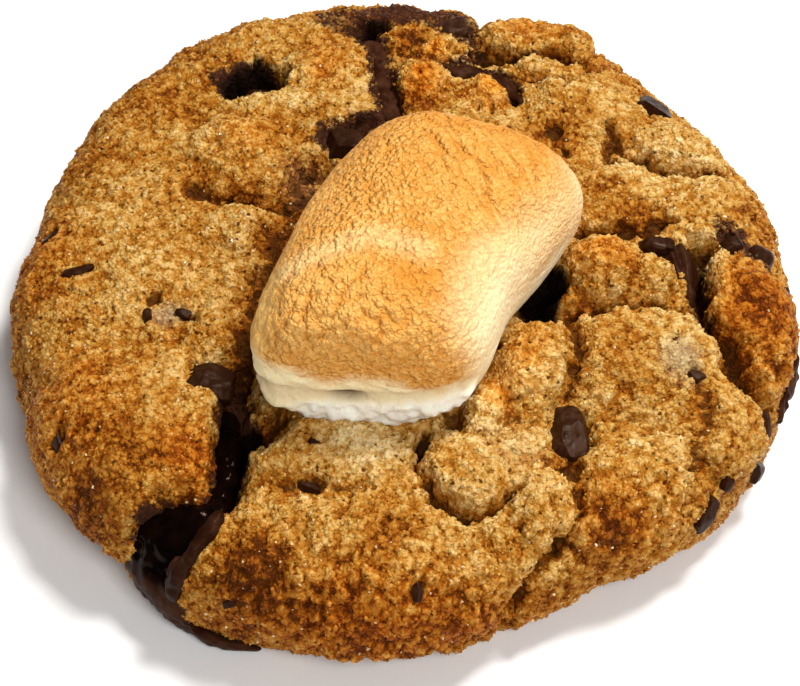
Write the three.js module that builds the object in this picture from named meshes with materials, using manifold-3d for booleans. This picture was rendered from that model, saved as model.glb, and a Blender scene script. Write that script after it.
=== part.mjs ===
// A soft baked cookie with chocolate chunks and a toasted marshmallow melted onto its top.
//
// The cookie is one lumpy solid. Its skin is laid out flat, as a disc: a place on it is
// (east, north) in millimetres, walked along the skin from the middle of the top. The disc's
// outer band is the rounded edge, and its rim is where that edge meets the flat base.
// Every chunk, run of melted chocolate and the marshmallow sits in a pocket of its own form.

import * as THREE from 'three';
import { mergeVertices } from 'three/addons/utils/BufferGeometryUtils.js';
import Module from 'manifold-3d';

const wasm = await Module();
wasm.setup();

// ---------------------------------------------------------------- driving sizes, in millimetres

const CENTRE_SHIFT = [-0.13, -0.26]; // brings the middle of the box over the origin
const EDGE_ROUND = 7.5; // radius of the rounded edge, so the edge is 15 high
const UNDERCUT = 4.0; // how far the base draws in under the widest place
const DOME = 4.5; // rise of the middle over the edge
const DOME_REACH = 4.0; // the dome fades out this far past the outline, along the skin
const BASE_FADE = 4.0; // relief fades out over this length before the base
const POCKET_GAP = 0.3; // clearance between a piece and its pocket
const CRUST_CELLS = 52; // squares across the flat-laid skin

// Outline radius at every 20 degrees, counter-clockwise from +X
const OUTLINE = [
  49.5, 49.2, 48.0, 49.4, 49.4, 51.2, 51.8, 51.2, 48.5,
  49.5, 49.4, 49.3, 51.3, 49.4, 47.8, 46.0, 48.6, 49.5,
];

// The marshmallow lies on its side: half width, half length and half height
const MALLOW_HALF = [14.0, 19.0, 12.0];
const MALLOW_PLACE = [0.47, -8.82, 27.5];
const MALLOW_TURN = 20.7; // its axis, clockwise from +Y in degrees
const MALLOW_ROUND = 2.3; // roundness of the section: 2 is an ellipse
const MALLOW_END = 4.2; // flatness of the ends: higher is flatter
const MALLOW_LEFT = [-0.10, -0.10, -0.05]; // how its left side swells along its length
const MALLOW_RIGHT = [0.17, 0.29, 0.01];
const MALLOW_SKEW = [0.30, 0.09]; // how far the near and the far end turn from square
const MALLOW_CELLS = 9; // squares along an edge of its mesh

const CHUNK_CORNERS = 5.0; // roundness of a chunk's corners: higher is sharper
const MELT_SIDES = 8; // points round a run of melted chocolate
const MELT_STEPS = 2; // rings of points from one stop of a run to the next
const MELT_FLOOR = 0.3; // melted chocolate stays this far above the surface below

// ---------------------------------------------------------------- relief of the crust

// Lumps: east, north, half width, half depth, turn in degrees, height, softness of the flank
const LUMPS = [
  [-36, 6, 16, 22, 10, 1.6, 1.0], // broad left side
  [-20.5, 18.5, 7.8, 7.8, 0, 3.2, 0.9], // round mound upper left
  [-17, 26, 8, 3.6, -4, 1.6, 0.8], // shelf in front of the cavity
  [-20, 4, 8.5, 4.6, 0, 1.6, 0.8],
  [-23, -11.5, 4.8, 5.2, 0, 1.4, 0.9],
  [-36, -27, 16, 15.5, 0, 2.6, 0.8], // lower left mass
  [-27, -25, 6.5, 9.5, 0, 1.6, 0.8], // its shoulder beside the split
  [-9, 31.5, 7.5, 9.5, 0, 1.6, 0.7],
  [-17, 40, 11, 5, 12, 1.2, 0.8],
  [2.5, 31, 4.2, 4.2, 0, 2.8, 0.8], // small round lumps behind the marshmallow
  [4, 37.4, 3.4, 2.2, 0, 1.6, 0.8],
  [8, 35.8, 2.4, 1.8, 0, 1.2, 0.8],
  [11.2, 29, 3.3, 3.8, 0, 2.0, 0.8],
  [17.5, 39.4, 8.5, 4.9, -8, 2.1, 0.45], // overhanging flake at the back
  [18.5, 33, 8, 2.5, -4, 1.4, 0.8],
  [24, 26, 8.5, 7, 0, 2.0, 0.7],
  [28, 12.5, 6.5, 4.8, 0, 1.2, 0.8],
  [38, 9, 6.5, 9, 20, 1.8, 0.8],
  [36, 20, 8, 5, -32, 1.6, 0.7],
  [27, 7.2, 6, 2.8, 0, 1.6, 0.8],
  [25.5, -2.4, 6.0, 5.4, 0, 4.4, 0.8], // high lump right of the marshmallow
  [31, -3.6, 3.2, 3.6, 0, 3.2, 0.8],
  [19, -8, 2.8, 2.4, 0, 2.0, 0.8],
  [30, -15, 11, 9.5, -20, 3.4, 0.6], // broad pale mass on the right
  [43.0, -8, 7.4, 11.5, 10, 2.8, 0.6], // brown mass at the right edge
  [40, -23.5, 6.5, 7, 0, 2.0, 0.8],
  [16, -17.5, 5.2, 7.8, -25, 3.8, 0.7], // ridge beside the marshmallow's near end
  [10, -24, 3.4, 4.8, 0, 2.2, 0.8],
  [13.2, -12.2, 3.6, 2.0, 20, 1.5, 0.8],
  [7.5, -32, 6, 5.2, 0, 1.8, 0.5],
  [13, -28, 6, 4, 0, 0.8, 1.0],
  [16.2, -35.2, 4.2, 5.2, 0, 2.4, 0.7],
  [-9, -29.5, 11, 5.6, 0, 1.6, 0.5],
  [-4, -46, 19, 12, 0, 2.0, 0.8], // craggy front
  [28, -34, 11, 9.5, 0, 1.8, 0.8],
];
const LUMP_OVERLAP = 0.35; // share of the lower lump that shows where two meet

// Splits and creases: half width, depth, then the places that the line runs through
const SPLITS = [
  [3.6, 6.0, [[-20.5, -17], [-20, -22], [-19.8, -26], [-21.6, -34]]],
  [4.4, 5.4, [[-21, -33], [-24.5, -37], [-30, -40], [-33, -46]]],
  [4.2, 3.0, [[-11, 15], [-15.8, 4], [-18.4, -6], [-19.6, -15]]],
  [2.8, 1.8, [[-27, 11.5], [-22, 9.4], [-16, 9.4], [-11, 12]]],
  [3.0, 2.4, [[-5.6, 42], [-3.4, 37], [-2.6, 31], [-1.4, 25], [-0.4, 20]]],
  [2.6, 1.6, [[5, 33.5], [9, 32.6], [13, 31.2], [14.7, 28]]],
  [2.8, 2.4, [[8, 36.4], [13, 35.6], [18, 34.9], [22, 35.3]]],
  [2.8, 1.8, [[27.5, 20], [31, 18], [35, 16], [41, 16]]],
  [2.8, 1.8, [[20, 4.6], [25, 4], [30, 4.6], [33.5, 7]]],
  [3.0, 2.4, [[17, -9.8], [21, -9.2], [25, -8.4], [30, -8], [34, -8.4]]],
  [3.6, 4.6, [[37, 3], [37, -4], [37.6, -10], [40, -14.5], [43.5, -17.5], [47, -20]]],
  [2.8, 1.8, [[20.8, -11], [20.8, -16], [20.2, -21]]],
  [2.8, 2.4, [[2.6, -26.5], [1.6, -30.5], [3.3, -35], [7, -37.4], [10.5, -37.2], [13.5, -34.5]]],
  [2.8, 1.8, [[20.2, -31], [20.6, -37], [18.8, -41]]],
  [2.8, 2.4, [[18.4, -40.5], [15.4, -44], [14.7, -50], [14.6, -57]]],
  [2.6, 1.2, [[36, -19.5], [36.6, -24], [35, -30]]],
];

// Hollows: east, north, half width, half depth, turn in degrees, depth
const HOLLOWS = [
  [-19.8, 30.9, 4.8, 3.9, 0, 8.5], // cavity at the upper left
  [16.6, -5.6, 3.6, 5.2, -22, 7.0], // deep gap right of the marshmallow
  [17.2, -10.4, 2.6, 2.8, -30, 4.0],
  [-16.3, -24, 4.2, 6.5, 0, 4.0], // recess beside the split
  [20, -25.8, 4, 5, 0, 2.6],
  [6.4, -24.3, 2.2, 3.2, 0, 2.4],
  [-28, -37.9, 6.4, 4.4, 12, 5.2], // bed of the chocolate pool
  [-5.8, 22.4, 3.8, 2.0, 20, 2.6],
];
const HOLLOW_WALL = 1.2; // steepness of a hollow's wall

function ease(t) {
  const c = Math.min(Math.max(t, 0), 1);
  return c * c * (3 - 2 * c);
}

// Distance from a place to a lump's or hollow's middle, as a share of its half sizes
function shareOut(east, north, [midEast, midNorth, halfWidth, halfDepth, turn]) {
  const angle = THREE.MathUtils.degToRad(turn);
  const de = east - midEast;
  const dn = north - midNorth;
  const along = (de * Math.cos(angle) + dn * Math.sin(angle)) / halfWidth;
  const across = (dn * Math.cos(angle) - de * Math.sin(angle)) / halfDepth;
  return Math.hypot(along, across);
}

function distanceToLine(east, north, places) {
  let nearest = Infinity;
  for (let i = 1; i < places.length; i++) {
    const [e0, n0] = places[i - 1];
    const [e1, n1] = places[i];
    const length2 = (e1 - e0) ** 2 + (n1 - n0) ** 2;
    const t = ((east - e0) * (e1 - e0) + (north - n0) * (n1 - n0)) / length2;
    const c = Math.min(Math.max(t, 0), 1);
    nearest = Math.min(nearest, Math.hypot(east - e0 - c * (e1 - e0), north - n0 - c * (n1 - n0)));
  }
  return nearest;
}

function relief(east, north) {
  let height = 0;
  for (const lump of LUMPS) {
    const rise = lump[5] * ease((1 - shareOut(east, north, lump)) / lump[6]);
    height = Math.max(height, rise) + LUMP_OVERLAP * Math.min(height, rise);
  }
  for (const [halfWidth, depth, places] of SPLITS) {
    height -= depth * ease(1 - distanceToLine(east, north, places) / halfWidth);
  }
  for (const hollow of HOLLOWS) {
    height -= hollow[5] * ease((1 - shareOut(east, north, hollow)) * HOLLOW_WALL);
  }
  return height;
}

// ---------------------------------------------------------------- the cookie's skin

// Outline radius at a bearing: a smooth closed curve through the OUTLINE values
function outlineRadius(bearing) {
  const count = OUTLINE.length;
  const step = ((bearing / (2 * Math.PI)) * count + count) % count;
  const first = Math.floor(step);
  const f = step - first;
  const [p0, p1, p2, p3] = [-1, 0, 1, 2].map((k) => OUTLINE[(first + k + count) % count]);
  const linear = (p2 - p0) * f;
  const square = (2 * p0 - 5 * p1 + 4 * p2 - p3) * f * f;
  const cube = (3 * p1 - p0 - 3 * p2 + p3) * f * f * f;
  return (2 * p1 + linear + square + cube) / 2;
}

// Length of the skin from the middle of the top to the base, at a bearing
function skinReach(bearing) {
  return outlineRadius(bearing) - EDGE_ROUND + Math.PI * EDGE_ROUND;
}

// The point of the skin at a place of the flat disc, raised by some height along the skin's normal
function skinPoint(east, north, raise = 0) {
  const walked = Math.hypot(east, north);
  const bearing = Math.atan2(north, east);
  const outline = outlineRadius(bearing);
  const topReach = outline - EDGE_ROUND;
  const bend = Math.min(Math.max((walked - topReach) / EDGE_ROUND, 0), Math.PI);
  let radius = walked;
  if (bend > Math.PI / 2) radius = outline - UNDERCUT + UNDERCUT * Math.sin(bend);
  else if (bend > 0) radius = topReach + EDGE_ROUND * Math.sin(bend);
  const dome = DOME * Math.max(1 - (walked / (outline + DOME_REACH)) ** 2, 0);
  radius += raise * Math.sin(bend);
  const height = EDGE_ROUND + EDGE_ROUND * Math.cos(bend) + dome + raise * Math.cos(bend);
  const x = CENTRE_SHIFT[0] + radius * Math.cos(bearing);
  const y = CENTRE_SHIFT[1] + radius * Math.sin(bearing);
  return new THREE.Vector3(x, y, height);
}

function crustPoint(east, north, raise = 0) {
  const left = skinReach(Math.atan2(north, east)) - Math.hypot(east, north);
  const fade = Math.min(Math.max(left / BASE_FADE, 0), 1);
  return skinPoint(east, north, relief(east, north) * fade + raise);
}

// Axes of the smooth skin at a place: east and north along it, and out of it
function skinAxes(east, north) {
  const step = 0.5; // far enough for a direction, and small beside a chunk
  const out = new THREE.Vector3();
  const eastward = skinPoint(east + step, north).sub(skinPoint(east - step, north)).normalize();
  const northward = skinPoint(east, north + step).sub(skinPoint(east, north - step)).normalize();
  out.crossVectors(eastward, northward).normalize();
  northward.crossVectors(out, eastward);
  return new THREE.Matrix4().makeBasis(eastward, northward, out);
}

// A square's place (a, b from -1 to 1) moved onto the round flat-laid skin
function squareToDisc(a, b) {
  const reach = Math.max(Math.abs(a), Math.abs(b));
  if (reach === 0) return [0, 0];
  let bearing = 0;
  if (Math.abs(a) > Math.abs(b)) bearing = (Math.PI / 4) * (b / a) + (a < 0 ? Math.PI : 0);
  else bearing = Math.PI / 2 - (Math.PI / 4) * (a / b) + (b < 0 ? Math.PI : 0);
  const walked = reach * skinReach(bearing);
  return [walked * Math.cos(bearing), walked * Math.sin(bearing)];
}

function crustGeometry() {
  const row = CRUST_CELLS + 1;
  const positions = [];
  const faces = [];
  for (let j = 0; j < row; j++) {
    for (let i = 0; i < row; i++) {
      const [east, north] = squareToDisc((2 * i) / CRUST_CELLS - 1, (2 * j) / CRUST_CELLS - 1);
      positions.push(...crustPoint(east, north).toArray());
    }
  }
  for (let j = 0; j < CRUST_CELLS; j++) {
    for (let i = 0; i < CRUST_CELLS; i++) {
      const a = j * row + i;
      faces.push(a, a + 1, a + row + 1, a, a + row + 1, a + row);
    }
  }
  // The base: a flat fan inside the loop where the edge ends
  const loop = [];
  for (let i = 0; i < CRUST_CELLS; i++) loop.push(i);
  for (let j = 0; j < CRUST_CELLS; j++) loop.push(j * row + CRUST_CELLS);
  for (let i = CRUST_CELLS; i > 0; i--) loop.push(CRUST_CELLS * row + i);
  for (let j = CRUST_CELLS; j > 0; j--) loop.push(j * row);
  const middle = positions.length / 3;
  positions.push(...CENTRE_SHIFT, 0);
  loop.forEach((place, k) => faces.push(place, middle, loop[(k + 1) % loop.length]));
  return meshData(positions, faces);
}

function meshData(positions, faces) {
  const geometry = new THREE.BufferGeometry();
  geometry.setAttribute('position', new THREE.Float32BufferAttribute(positions, 3));
  geometry.setIndex(faces);
  return geometry;
}

// ---------------------------------------------------------------- joining and cutting

const SAME_POINT = 1e-5; // points closer than this are one

function toSolid(geometry) {
  const bare = geometry.clone();
  bare.deleteAttribute('normal');
  bare.deleteAttribute('uv');
  const merged = mergeVertices(bare, SAME_POINT);
  return new wasm.Manifold(new wasm.Mesh({
    numProp: 3,
    vertProperties: new Float32Array(merged.attributes.position.array),
    triVerts: new Uint32Array(merged.index.array),
  }));
}

// A solid's largest body as a geometry: scraps that a cut leaves loose are dropped
function toGeometry(solid) {
  const bodies = solid.decompose();
  bodies.sort((a, b) => b.volume() - a.volume());
  const { vertProperties, triVerts } = bodies[0].getMesh();
  return meshData(Array.from(vertProperties), Array.from(triVerts));
}

// ---------------------------------------------------------------- the marshmallow

// A side of the marshmallow, as a share of its half width, at a place along its length
function swelling([linear, square, cube], along) {
  return 1 + linear * along + square * along ** 2 + cube * along ** 3;
}

// A lying cylinder with rounded ends, one side drawn in and both ends a little askew
function marshmallowGeometry(gap) {
  const box = new THREE.BoxGeometry(2, 2, 2, MALLOW_CELLS, MALLOW_CELLS, MALLOW_CELLS);
  const place = box.attributes.position;
  const [halfWidth, halfLength, halfHeight] = MALLOW_HALF.map((half) => half + gap);
  const point = new THREE.Vector3();
  for (let i = 0; i < place.count; i++) {
    point.fromBufferAttribute(place, i).normalize();
    const x = Math.abs(point.x / halfWidth) ** MALLOW_ROUND;
    const z = Math.abs(point.z / halfHeight) ** MALLOW_ROUND;
    const section = (x + z) ** (MALLOW_END / MALLOW_ROUND);
    const size = (section + Math.abs(point.y / halfLength) ** MALLOW_END) ** (-1 / MALLOW_END);
    point.multiplyScalar(size);
    const along = point.y / halfLength;
    point.x *= swelling(point.x > 0 ? MALLOW_RIGHT : MALLOW_LEFT, along);
    point.y += point.x * (MALLOW_SKEW[0] * Math.max(-along, 0) + MALLOW_SKEW[1] * Math.max(along, 0));
    place.setXYZ(i, point.x, point.y, point.z);
  }
  return box;
}

// ---------------------------------------------------------------- chocolate

// A chunk: a box with soft corners, size in millimetres
function chunkGeometry([width, depth, height], gap, cells) {
  const box = new THREE.BoxGeometry(2, 2, 2, cells, cells, cells);
  const place = box.attributes.position;
  const half = new THREE.Vector3(width / 2 + gap, depth / 2 + gap, height / 2 + gap);
  const point = new THREE.Vector3();
  for (let i = 0; i < place.count; i++) {
    point.fromBufferAttribute(place, i);
    const length = [point.x, point.y, point.z]
      .reduce((sum, part) => sum + Math.abs(part) ** CHUNK_CORNERS, 0) ** (1 / CHUNK_CORNERS);
    point.divideScalar(length).multiply(half);
    place.setXYZ(i, point.x, point.y, point.z);
  }
  return box;
}

// A run of melted chocolate along the skin. Each stop is
// [east, north, half width, thickness, height of its middle over the smooth skin]
function meltGeometry(stops, gap) {
  const steps = (stops.length - 1) * MELT_STEPS;
  const places = stops.map(([east, north]) => new THREE.Vector3(east, north, 0));
  const sections = stops.map(([, , wide, thick, raise]) => new THREE.Vector3(wide, thick, raise));
  const line = new THREE.CatmullRomCurve3(places);
  const size = new THREE.CatmullRomCurve3(sections);
  const positions = [];
  const faces = [];
  for (let i = 0; i <= steps; i++) {
    const t = i / steps;
    const run = line.getTangent(t);
    const middle = line.getPoint(t).addScaledVector(run, gap * (i === steps) - gap * (i === 0));
    const { x: wide, y: thick, z: raise } = size.getPoint(t);
    for (let k = 0; k < MELT_SIDES; k++) {
      const turn = (2 * Math.PI * k) / MELT_SIDES;
      const side = (wide + gap) * Math.cos(turn);
      const lift = raise + (thick / 2 + gap) * Math.sin(turn);
      const point = skinPoint(middle.x + run.y * side, middle.y - run.x * side, lift);
      point.z = Math.max(point.z, MELT_FLOOR - gap);
      positions.push(...point.toArray());
    }
  }
  for (let i = 0; i < steps; i++) {
    for (let k = 0; k < MELT_SIDES; k++) {
      const next = (k + 1) % MELT_SIDES;
      const a = i * MELT_SIDES;
      const b = a + MELT_SIDES;
      faces.push(a + k, b + next, a + next, a + k, b + k, b + next);
    }
  }
  for (const end of [0, steps]) {
    const ring = end * MELT_SIDES;
    const outward = end === 0 ? [1, 2] : [2, 1];
    for (let k = 1; k < MELT_SIDES - 1; k++) {
      faces.push(ring, ring + k + outward[0] - 1, ring + k + outward[1] - 1);
    }
  }
  return meshData(positions, faces);
}

// Chunks: name, east, north, [width, depth, height], turn, lean to the east, lean to the north,
// and how far the middle stands over the smooth skin
const CHUNKS = [
  ['chunk_split_head', -23.2, -18.4, [8.0, 4.8, 3.0], -22, 8, 4, -0.1],
  ['chip_left', -40.8, -1.3, [5.2, 2.0, 1.6], 12, 0, 0, 0.9],
  ['chip_left_edge', -44.6, 5.6, [1.8, 2.8, 1.8], -30, 0, 0, 0.4],
  ['chip_lower_left', -41, -24.8, [2.0, 3.2, 1.8], -8, 0, 0, 1.9],
  ['chunk_cavity', -18.6, 31.6, [7.0, 4.6, 3.0], 8, 8, 0, -4.6],
  ['chunk_behind_marshmallow', -7.4, 19.2, [5.8, 5.6, 4.0], -12, 0, 8, -0.5],
  ['chunk_back_edge', 6.6, 41.4, [4.6, 4.2, 3.4], 20, 0, 0, 0.2],
  ['chip_back_right', 32.6, 27.4, [5.6, 3.2, 1.8], -38, 0, 0, 0.7],
  ['chunk_right_block', 31.6, 1.7, [4.6, 2.8, 3.2], -10, 0, 10, 1.4],
  ['chunk_right_rim_a', 41.2, 3.6, [2.8, 3.0, 2.6], 25, 0, 0, 0.3],
  ['chunk_right_rim_b', 45.0, 2.4, [3.4, 3.0, 2.8], -10, 0, 0, 0.5],
  ['chip_right_edge', 47.6, -2.2, [1.8, 1.4, 1.6], 0, 0, 0, 1.3],
  ['chunk_right_low_a', 45.4, -21.6, [2.6, 4.4, 2.6], 10, 0, 0, 0.5],
  ['chunk_right_low_b', 47.0, -26.4, [3.0, 3.6, 2.4], 20, 0, 0, 0.6],
  ['chunk_front_face', 19.9, -25.9, [4.2, 7.4, 4.8], 8, -24, 0, 0.1],
  ['chunk_front_right_a', 38.2, -34.0, [2.8, 4.8, 2.4], -18, 0, 0, 0.8],
  ['chunk_front_right_b', 40.2, -29.6, [1.8, 2.4, 2.0], 0, 0, 0, 0.9],
  ['chip_pale_mass_a', 33.2, -14.6, [1.8, 1.6, 1.6], 30, 0, 0, 3.1],
  ['chip_pale_mass_b', 35.4, -18.4, [2.4, 1.6, 1.8], -20, 0, 0, 1.6],
  ['chip_front_a', -10.5, -28.3, [2.6, 1.4, 1.4], 0, 0, 0, 0.9],
  ['chip_front_b', -11.0, -34.0, [3.0, 1.4, 1.4], -8, 0, 0, 0.0],
  ['chip_front_c', 2.5, -28.3, [1.5, 3.4, 1.4], 0, 0, 0, -0.9],
  ['chip_front_d', 1.6, -46.6, [1.3, 2.4, 1.4], 0, 0, 0, 1.8],
  ['chip_front_e', -21.2, -47.6, [2.2, 1.6, 1.4], 20, 0, 0, 0.4],
  ['chip_grey_a', -31.4, -9.0, [1.4, 2.0, 1.4], 0, 0, 0, 1.0],
  ['chip_grey_b', -27.0, -8.7, [2.2, 1.2, 1.4], -25, 0, 0, 0.6],
];

// Melted chocolate: stops as meltGeometry takes them
const SPLIT_RUN = [
  [-21.6, -21.4, 1.6, 2.4, -2.6], [-21.2, -26, 1.9, 3.0, -3.4], [-21.4, -31, 1.6, 3.0, -3.9],
  [-22.6, -35.5, 2.0, 3.0, -3.4], [-26.2, -39, 4.4, 3.4, -2.6], [-30.2, -42.2, 4.6, 3.2, -1.7],
  [-32.6, -45.4, 5.4, 3.0, -0.9], [-33.4, -49.4, 5.2, 2.6, -0.3], [-33.0, -53.4, 4.4, 2.4, 0.1],
  [-31.0, -57.6, 2.6, 2.0, 0.2],
];
const BASE_RUN = [
  [-34.2, -53, 1.6, 1.8, 0.2], [-29.6, -54.6, 2.2, 1.8, 0.6], [-26, -56.4, 1.8, 1.6, 0.7],
  [-23.4, -57.6, 1.2, 1.2, 0.6], [-21.6, -58.2, 0.7, 0.8, 0.5],
];
const LIP_RUN = [
  [-21.2, -37, 0.7, 1.6, 0.3], [-22.8, -39.6, 1.1, 2, 0.4], [-25, -41.8, 0.9, 2.2, 0.3],
  [-27.8, -44.6, 1.2, 1.9, 0.3], [-29.6, -47.4, 0.7, 1.4, 0.1],
];
const STREAK_RUN = [
  [-4.2, 40, 1, 1.2, -1.3], [-4, 38.6, 1.5, 1.4, -1.1], [-3, 36.2, 1.1, 1.2, -1.3],
  [-3, 33.4, 1.6, 1.4, -1.1], [-2.2, 30.2, 1.1, 1.2, -1.3], [-1.9, 27.2, 1.4, 1.4, -1.2],
  [-1.1, 24.4, 0.9, 1.1, -1.5], [-0.8, 22.6, 0.7, 1, -1.6],
];
const VEIN_RUN = [
  [5.6, 33.6, 0.8, 1.2, -0.6], [9, 32.7, 1, 1.6, -0.7], [12.6, 31.4, 1.1, 1.6, -0.6],
  [14.4, 28.6, 0.9, 1.4, -0.3], [15.4, 26.6, 0.6, 1, 0.2],
];
const DRIP_RUN = [
  [32.2, 3.4, 1.6, 1.6, 0], [33.7, 1.2, 2.5, 1.6, -0.1], [34.6, -1.4, 2.4, 1.6, -0.5],
  [35.2, -4, 1.5, 1.6, -1.1],
];
const EDGE_RUN = [
  [50.4, -3.6, 0.8, 1.4, 0], [51.4, -7, 1.3, 1.6, 0.1], [51.8, -11.5, 1.5, 1.6, 0.1],
  [51, -16, 1.3, 1.5, 0], [50, -19.5, 0.8, 1.2, 0],
];

// ---------------------------------------------------------------- materials

const CRUST = new THREE.MeshStandardMaterial({ color: 0xb98548, roughness: 0.85 });
const TOASTED = new THREE.MeshStandardMaterial({ color: 0xeab764, roughness: 0.6 });
const CHOCOLATE = new THREE.MeshStandardMaterial({ color: 0x33201b, roughness: 0.4 });
const MELTED = new THREE.MeshStandardMaterial({ color: 0x24120e, roughness: 0.25 });

function namedMesh(name, geometry, material) {
  geometry.computeVertexNormals();
  const mesh = new THREE.Mesh(geometry, material);
  mesh.name = name;
  return mesh;
}

// ---------------------------------------------------------------- putting it together

const group = new THREE.Group();
const pockets = [];

function addPiece(name, makeGeometry, material, matrix = new THREE.Matrix4()) {
  const mesh = namedMesh(name, makeGeometry(0), material);
  mesh.applyMatrix4(matrix);
  group.add(mesh);
  pockets.push(toSolid(makeGeometry(POCKET_GAP).applyMatrix4(matrix)));
}

const mallowMatrix = new THREE.Matrix4()
  .makeRotationZ(-THREE.MathUtils.degToRad(MALLOW_TURN))
  .setPosition(...MALLOW_PLACE);
addPiece('marshmallow', marshmallowGeometry, TOASTED, mallowMatrix);

const LARGE_CHUNK = 5.5; // chunks longer than this get three squares along an edge, others two
for (const [name, east, north, size, turn, leanEast, leanNorth, raise] of CHUNKS) {
  const [spin, tipEast, tipNorth] = [turn, leanEast, leanNorth].map(THREE.MathUtils.degToRad);
  const axes = skinAxes(east, north)
    .multiply(new THREE.Matrix4().makeRotationY(tipEast))
    .multiply(new THREE.Matrix4().makeRotationX(-tipNorth))
    .multiply(new THREE.Matrix4().makeRotationZ(spin))
    .setPosition(skinPoint(east, north, raise));
  const cells = Math.max(...size) > LARGE_CHUNK ? 3 : 2;
  addPiece(name, (gap) => chunkGeometry(size, gap, cells), CHOCOLATE, axes);
}

// Runs joined into one piece of chocolate, which ends where it meets a firmer piece
const firmPockets = [...pockets];
function joinedRuns(runs, gap) {
  const solids = runs.map((stops) => toSolid(meltGeometry(stops, gap)));
  const joined = solids.reduce((whole, next) => whole.add(next));
  return toGeometry(firmPockets.reduce((whole, pocket) => whole.subtract(pocket), joined));
}
const MELTS = {
  melt_split: [SPLIT_RUN, BASE_RUN, LIP_RUN],
  melt_back_streak: [STREAK_RUN],
  melt_back_vein: [VEIN_RUN],
  melt_right_drip: [DRIP_RUN],
  melt_right_edge: [EDGE_RUN],
};
for (const [name, runs] of Object.entries(MELTS)) {
  addPiece(name, (gap) => joinedRuns(runs, gap), MELTED);
}

const crust = pockets.reduce((whole, pocket) => whole.subtract(pocket), toSolid(crustGeometry()));
group.add(namedMesh('cookie', toGeometry(crust), CRUST));

export default group;
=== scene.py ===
import itertools
import math

import bpy
import numpy as np
from mathutils import Matrix, Vector


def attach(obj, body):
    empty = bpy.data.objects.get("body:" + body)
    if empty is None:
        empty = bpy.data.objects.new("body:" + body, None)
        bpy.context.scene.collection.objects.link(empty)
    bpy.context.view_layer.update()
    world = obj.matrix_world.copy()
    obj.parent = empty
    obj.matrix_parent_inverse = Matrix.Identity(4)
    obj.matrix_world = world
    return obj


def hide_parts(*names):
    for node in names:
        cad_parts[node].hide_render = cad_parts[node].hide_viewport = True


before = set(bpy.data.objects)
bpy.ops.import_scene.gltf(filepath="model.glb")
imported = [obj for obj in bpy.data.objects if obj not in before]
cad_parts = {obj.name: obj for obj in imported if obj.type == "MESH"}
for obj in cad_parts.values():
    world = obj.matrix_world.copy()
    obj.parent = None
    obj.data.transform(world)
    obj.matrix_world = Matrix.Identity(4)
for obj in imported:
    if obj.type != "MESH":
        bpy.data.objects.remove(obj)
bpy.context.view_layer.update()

# ------------------------------------------------------------------------------ view
# A long lens looks down at the cookie from the front, as over a table. The aim is a
# place a little in front of the cookie's middle, at half its height.
VIEW_ELEVATION = math.radians(52)
VIEW_DISTANCE = 0.380
VIEW_AIM = Vector((-0.00053, -0.00526, 0.0080))
VIEW_LENS = 135.1

camera_data = bpy.data.cameras.new("view")
camera_data.lens = VIEW_LENS
camera_data.sensor_width = 36
camera_data.clip_start = 0.01
camera = bpy.data.objects.new("view", camera_data)
bpy.context.collection.objects.link(camera)
backward = Vector((0, -math.cos(VIEW_ELEVATION), math.sin(VIEW_ELEVATION)))
camera.location = VIEW_AIM + backward * VIEW_DISTANCE
camera.rotation_mode = "QUATERNION"
camera.rotation_quaternion = (-backward).to_track_quat("-Z", "Y")
bpy.context.scene.camera = camera

# ------------------------------------------------------------------------------ light
# Plain studio light: one wide soft panel high at the back right, a dimmer one at the
# front right, and an even pale surround that fills the shadows.
SURROUND_COLOUR = (1.0, 0.99, 0.98, 1)
SURROUND_STRENGTH = 0.19
# Place and width in metres, power in watts, colour
KEY_PANEL = ((0.20, 0.17, 0.58), 0.16, 4.6, (1.0, 0.985, 0.96))
FILL_PANEL = ((0.13, -0.36, 0.44), 0.24, 1.9, (1.0, 0.99, 0.98))

bpy.context.scene.view_settings.view_transform = "Standard"
world = bpy.data.worlds.new("surround")
world.use_nodes = True
surround = world.node_tree.nodes["Background"]
surround.inputs["Color"].default_value = SURROUND_COLOUR
surround.inputs["Strength"].default_value = SURROUND_STRENGTH
bpy.context.scene.world = world


def soft_panel(name, place, width, power, tint):
    """A square area light that faces the cookie."""
    data = bpy.data.lights.new(name, "AREA")
    data.shape = "SQUARE"
    data.size = width
    data.energy = power
    data.color = tint
    panel = bpy.data.objects.new(name, data)
    bpy.context.collection.objects.link(panel)
    panel.location = place
    panel.rotation_mode = "QUATERNION"
    panel.rotation_quaternion = (-Vector(place)).to_track_quat("-Z", "Y")


soft_panel("key_panel", *KEY_PANEL)
soft_panel("fill_panel", *FILL_PANEL)

# ------------------------------------------------------------------------------ floor
# A plain pale table top, only there to catch the soft shadow.
FLOOR_HALF = 3.0
FLOOR_COLOUR = (0.92, 0.915, 0.91, 1)


def new_material(name, shader_values):
    """A material with one Principled shader, whose even values sit on its own sockets."""
    material = bpy.data.materials.new(name)
    material.use_nodes = True
    tree = material.node_tree
    shader = tree.nodes["Principled BSDF"]
    for key, value in shader_values.items():
        shader.inputs[key].default_value = value
    return material, tree, shader


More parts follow.
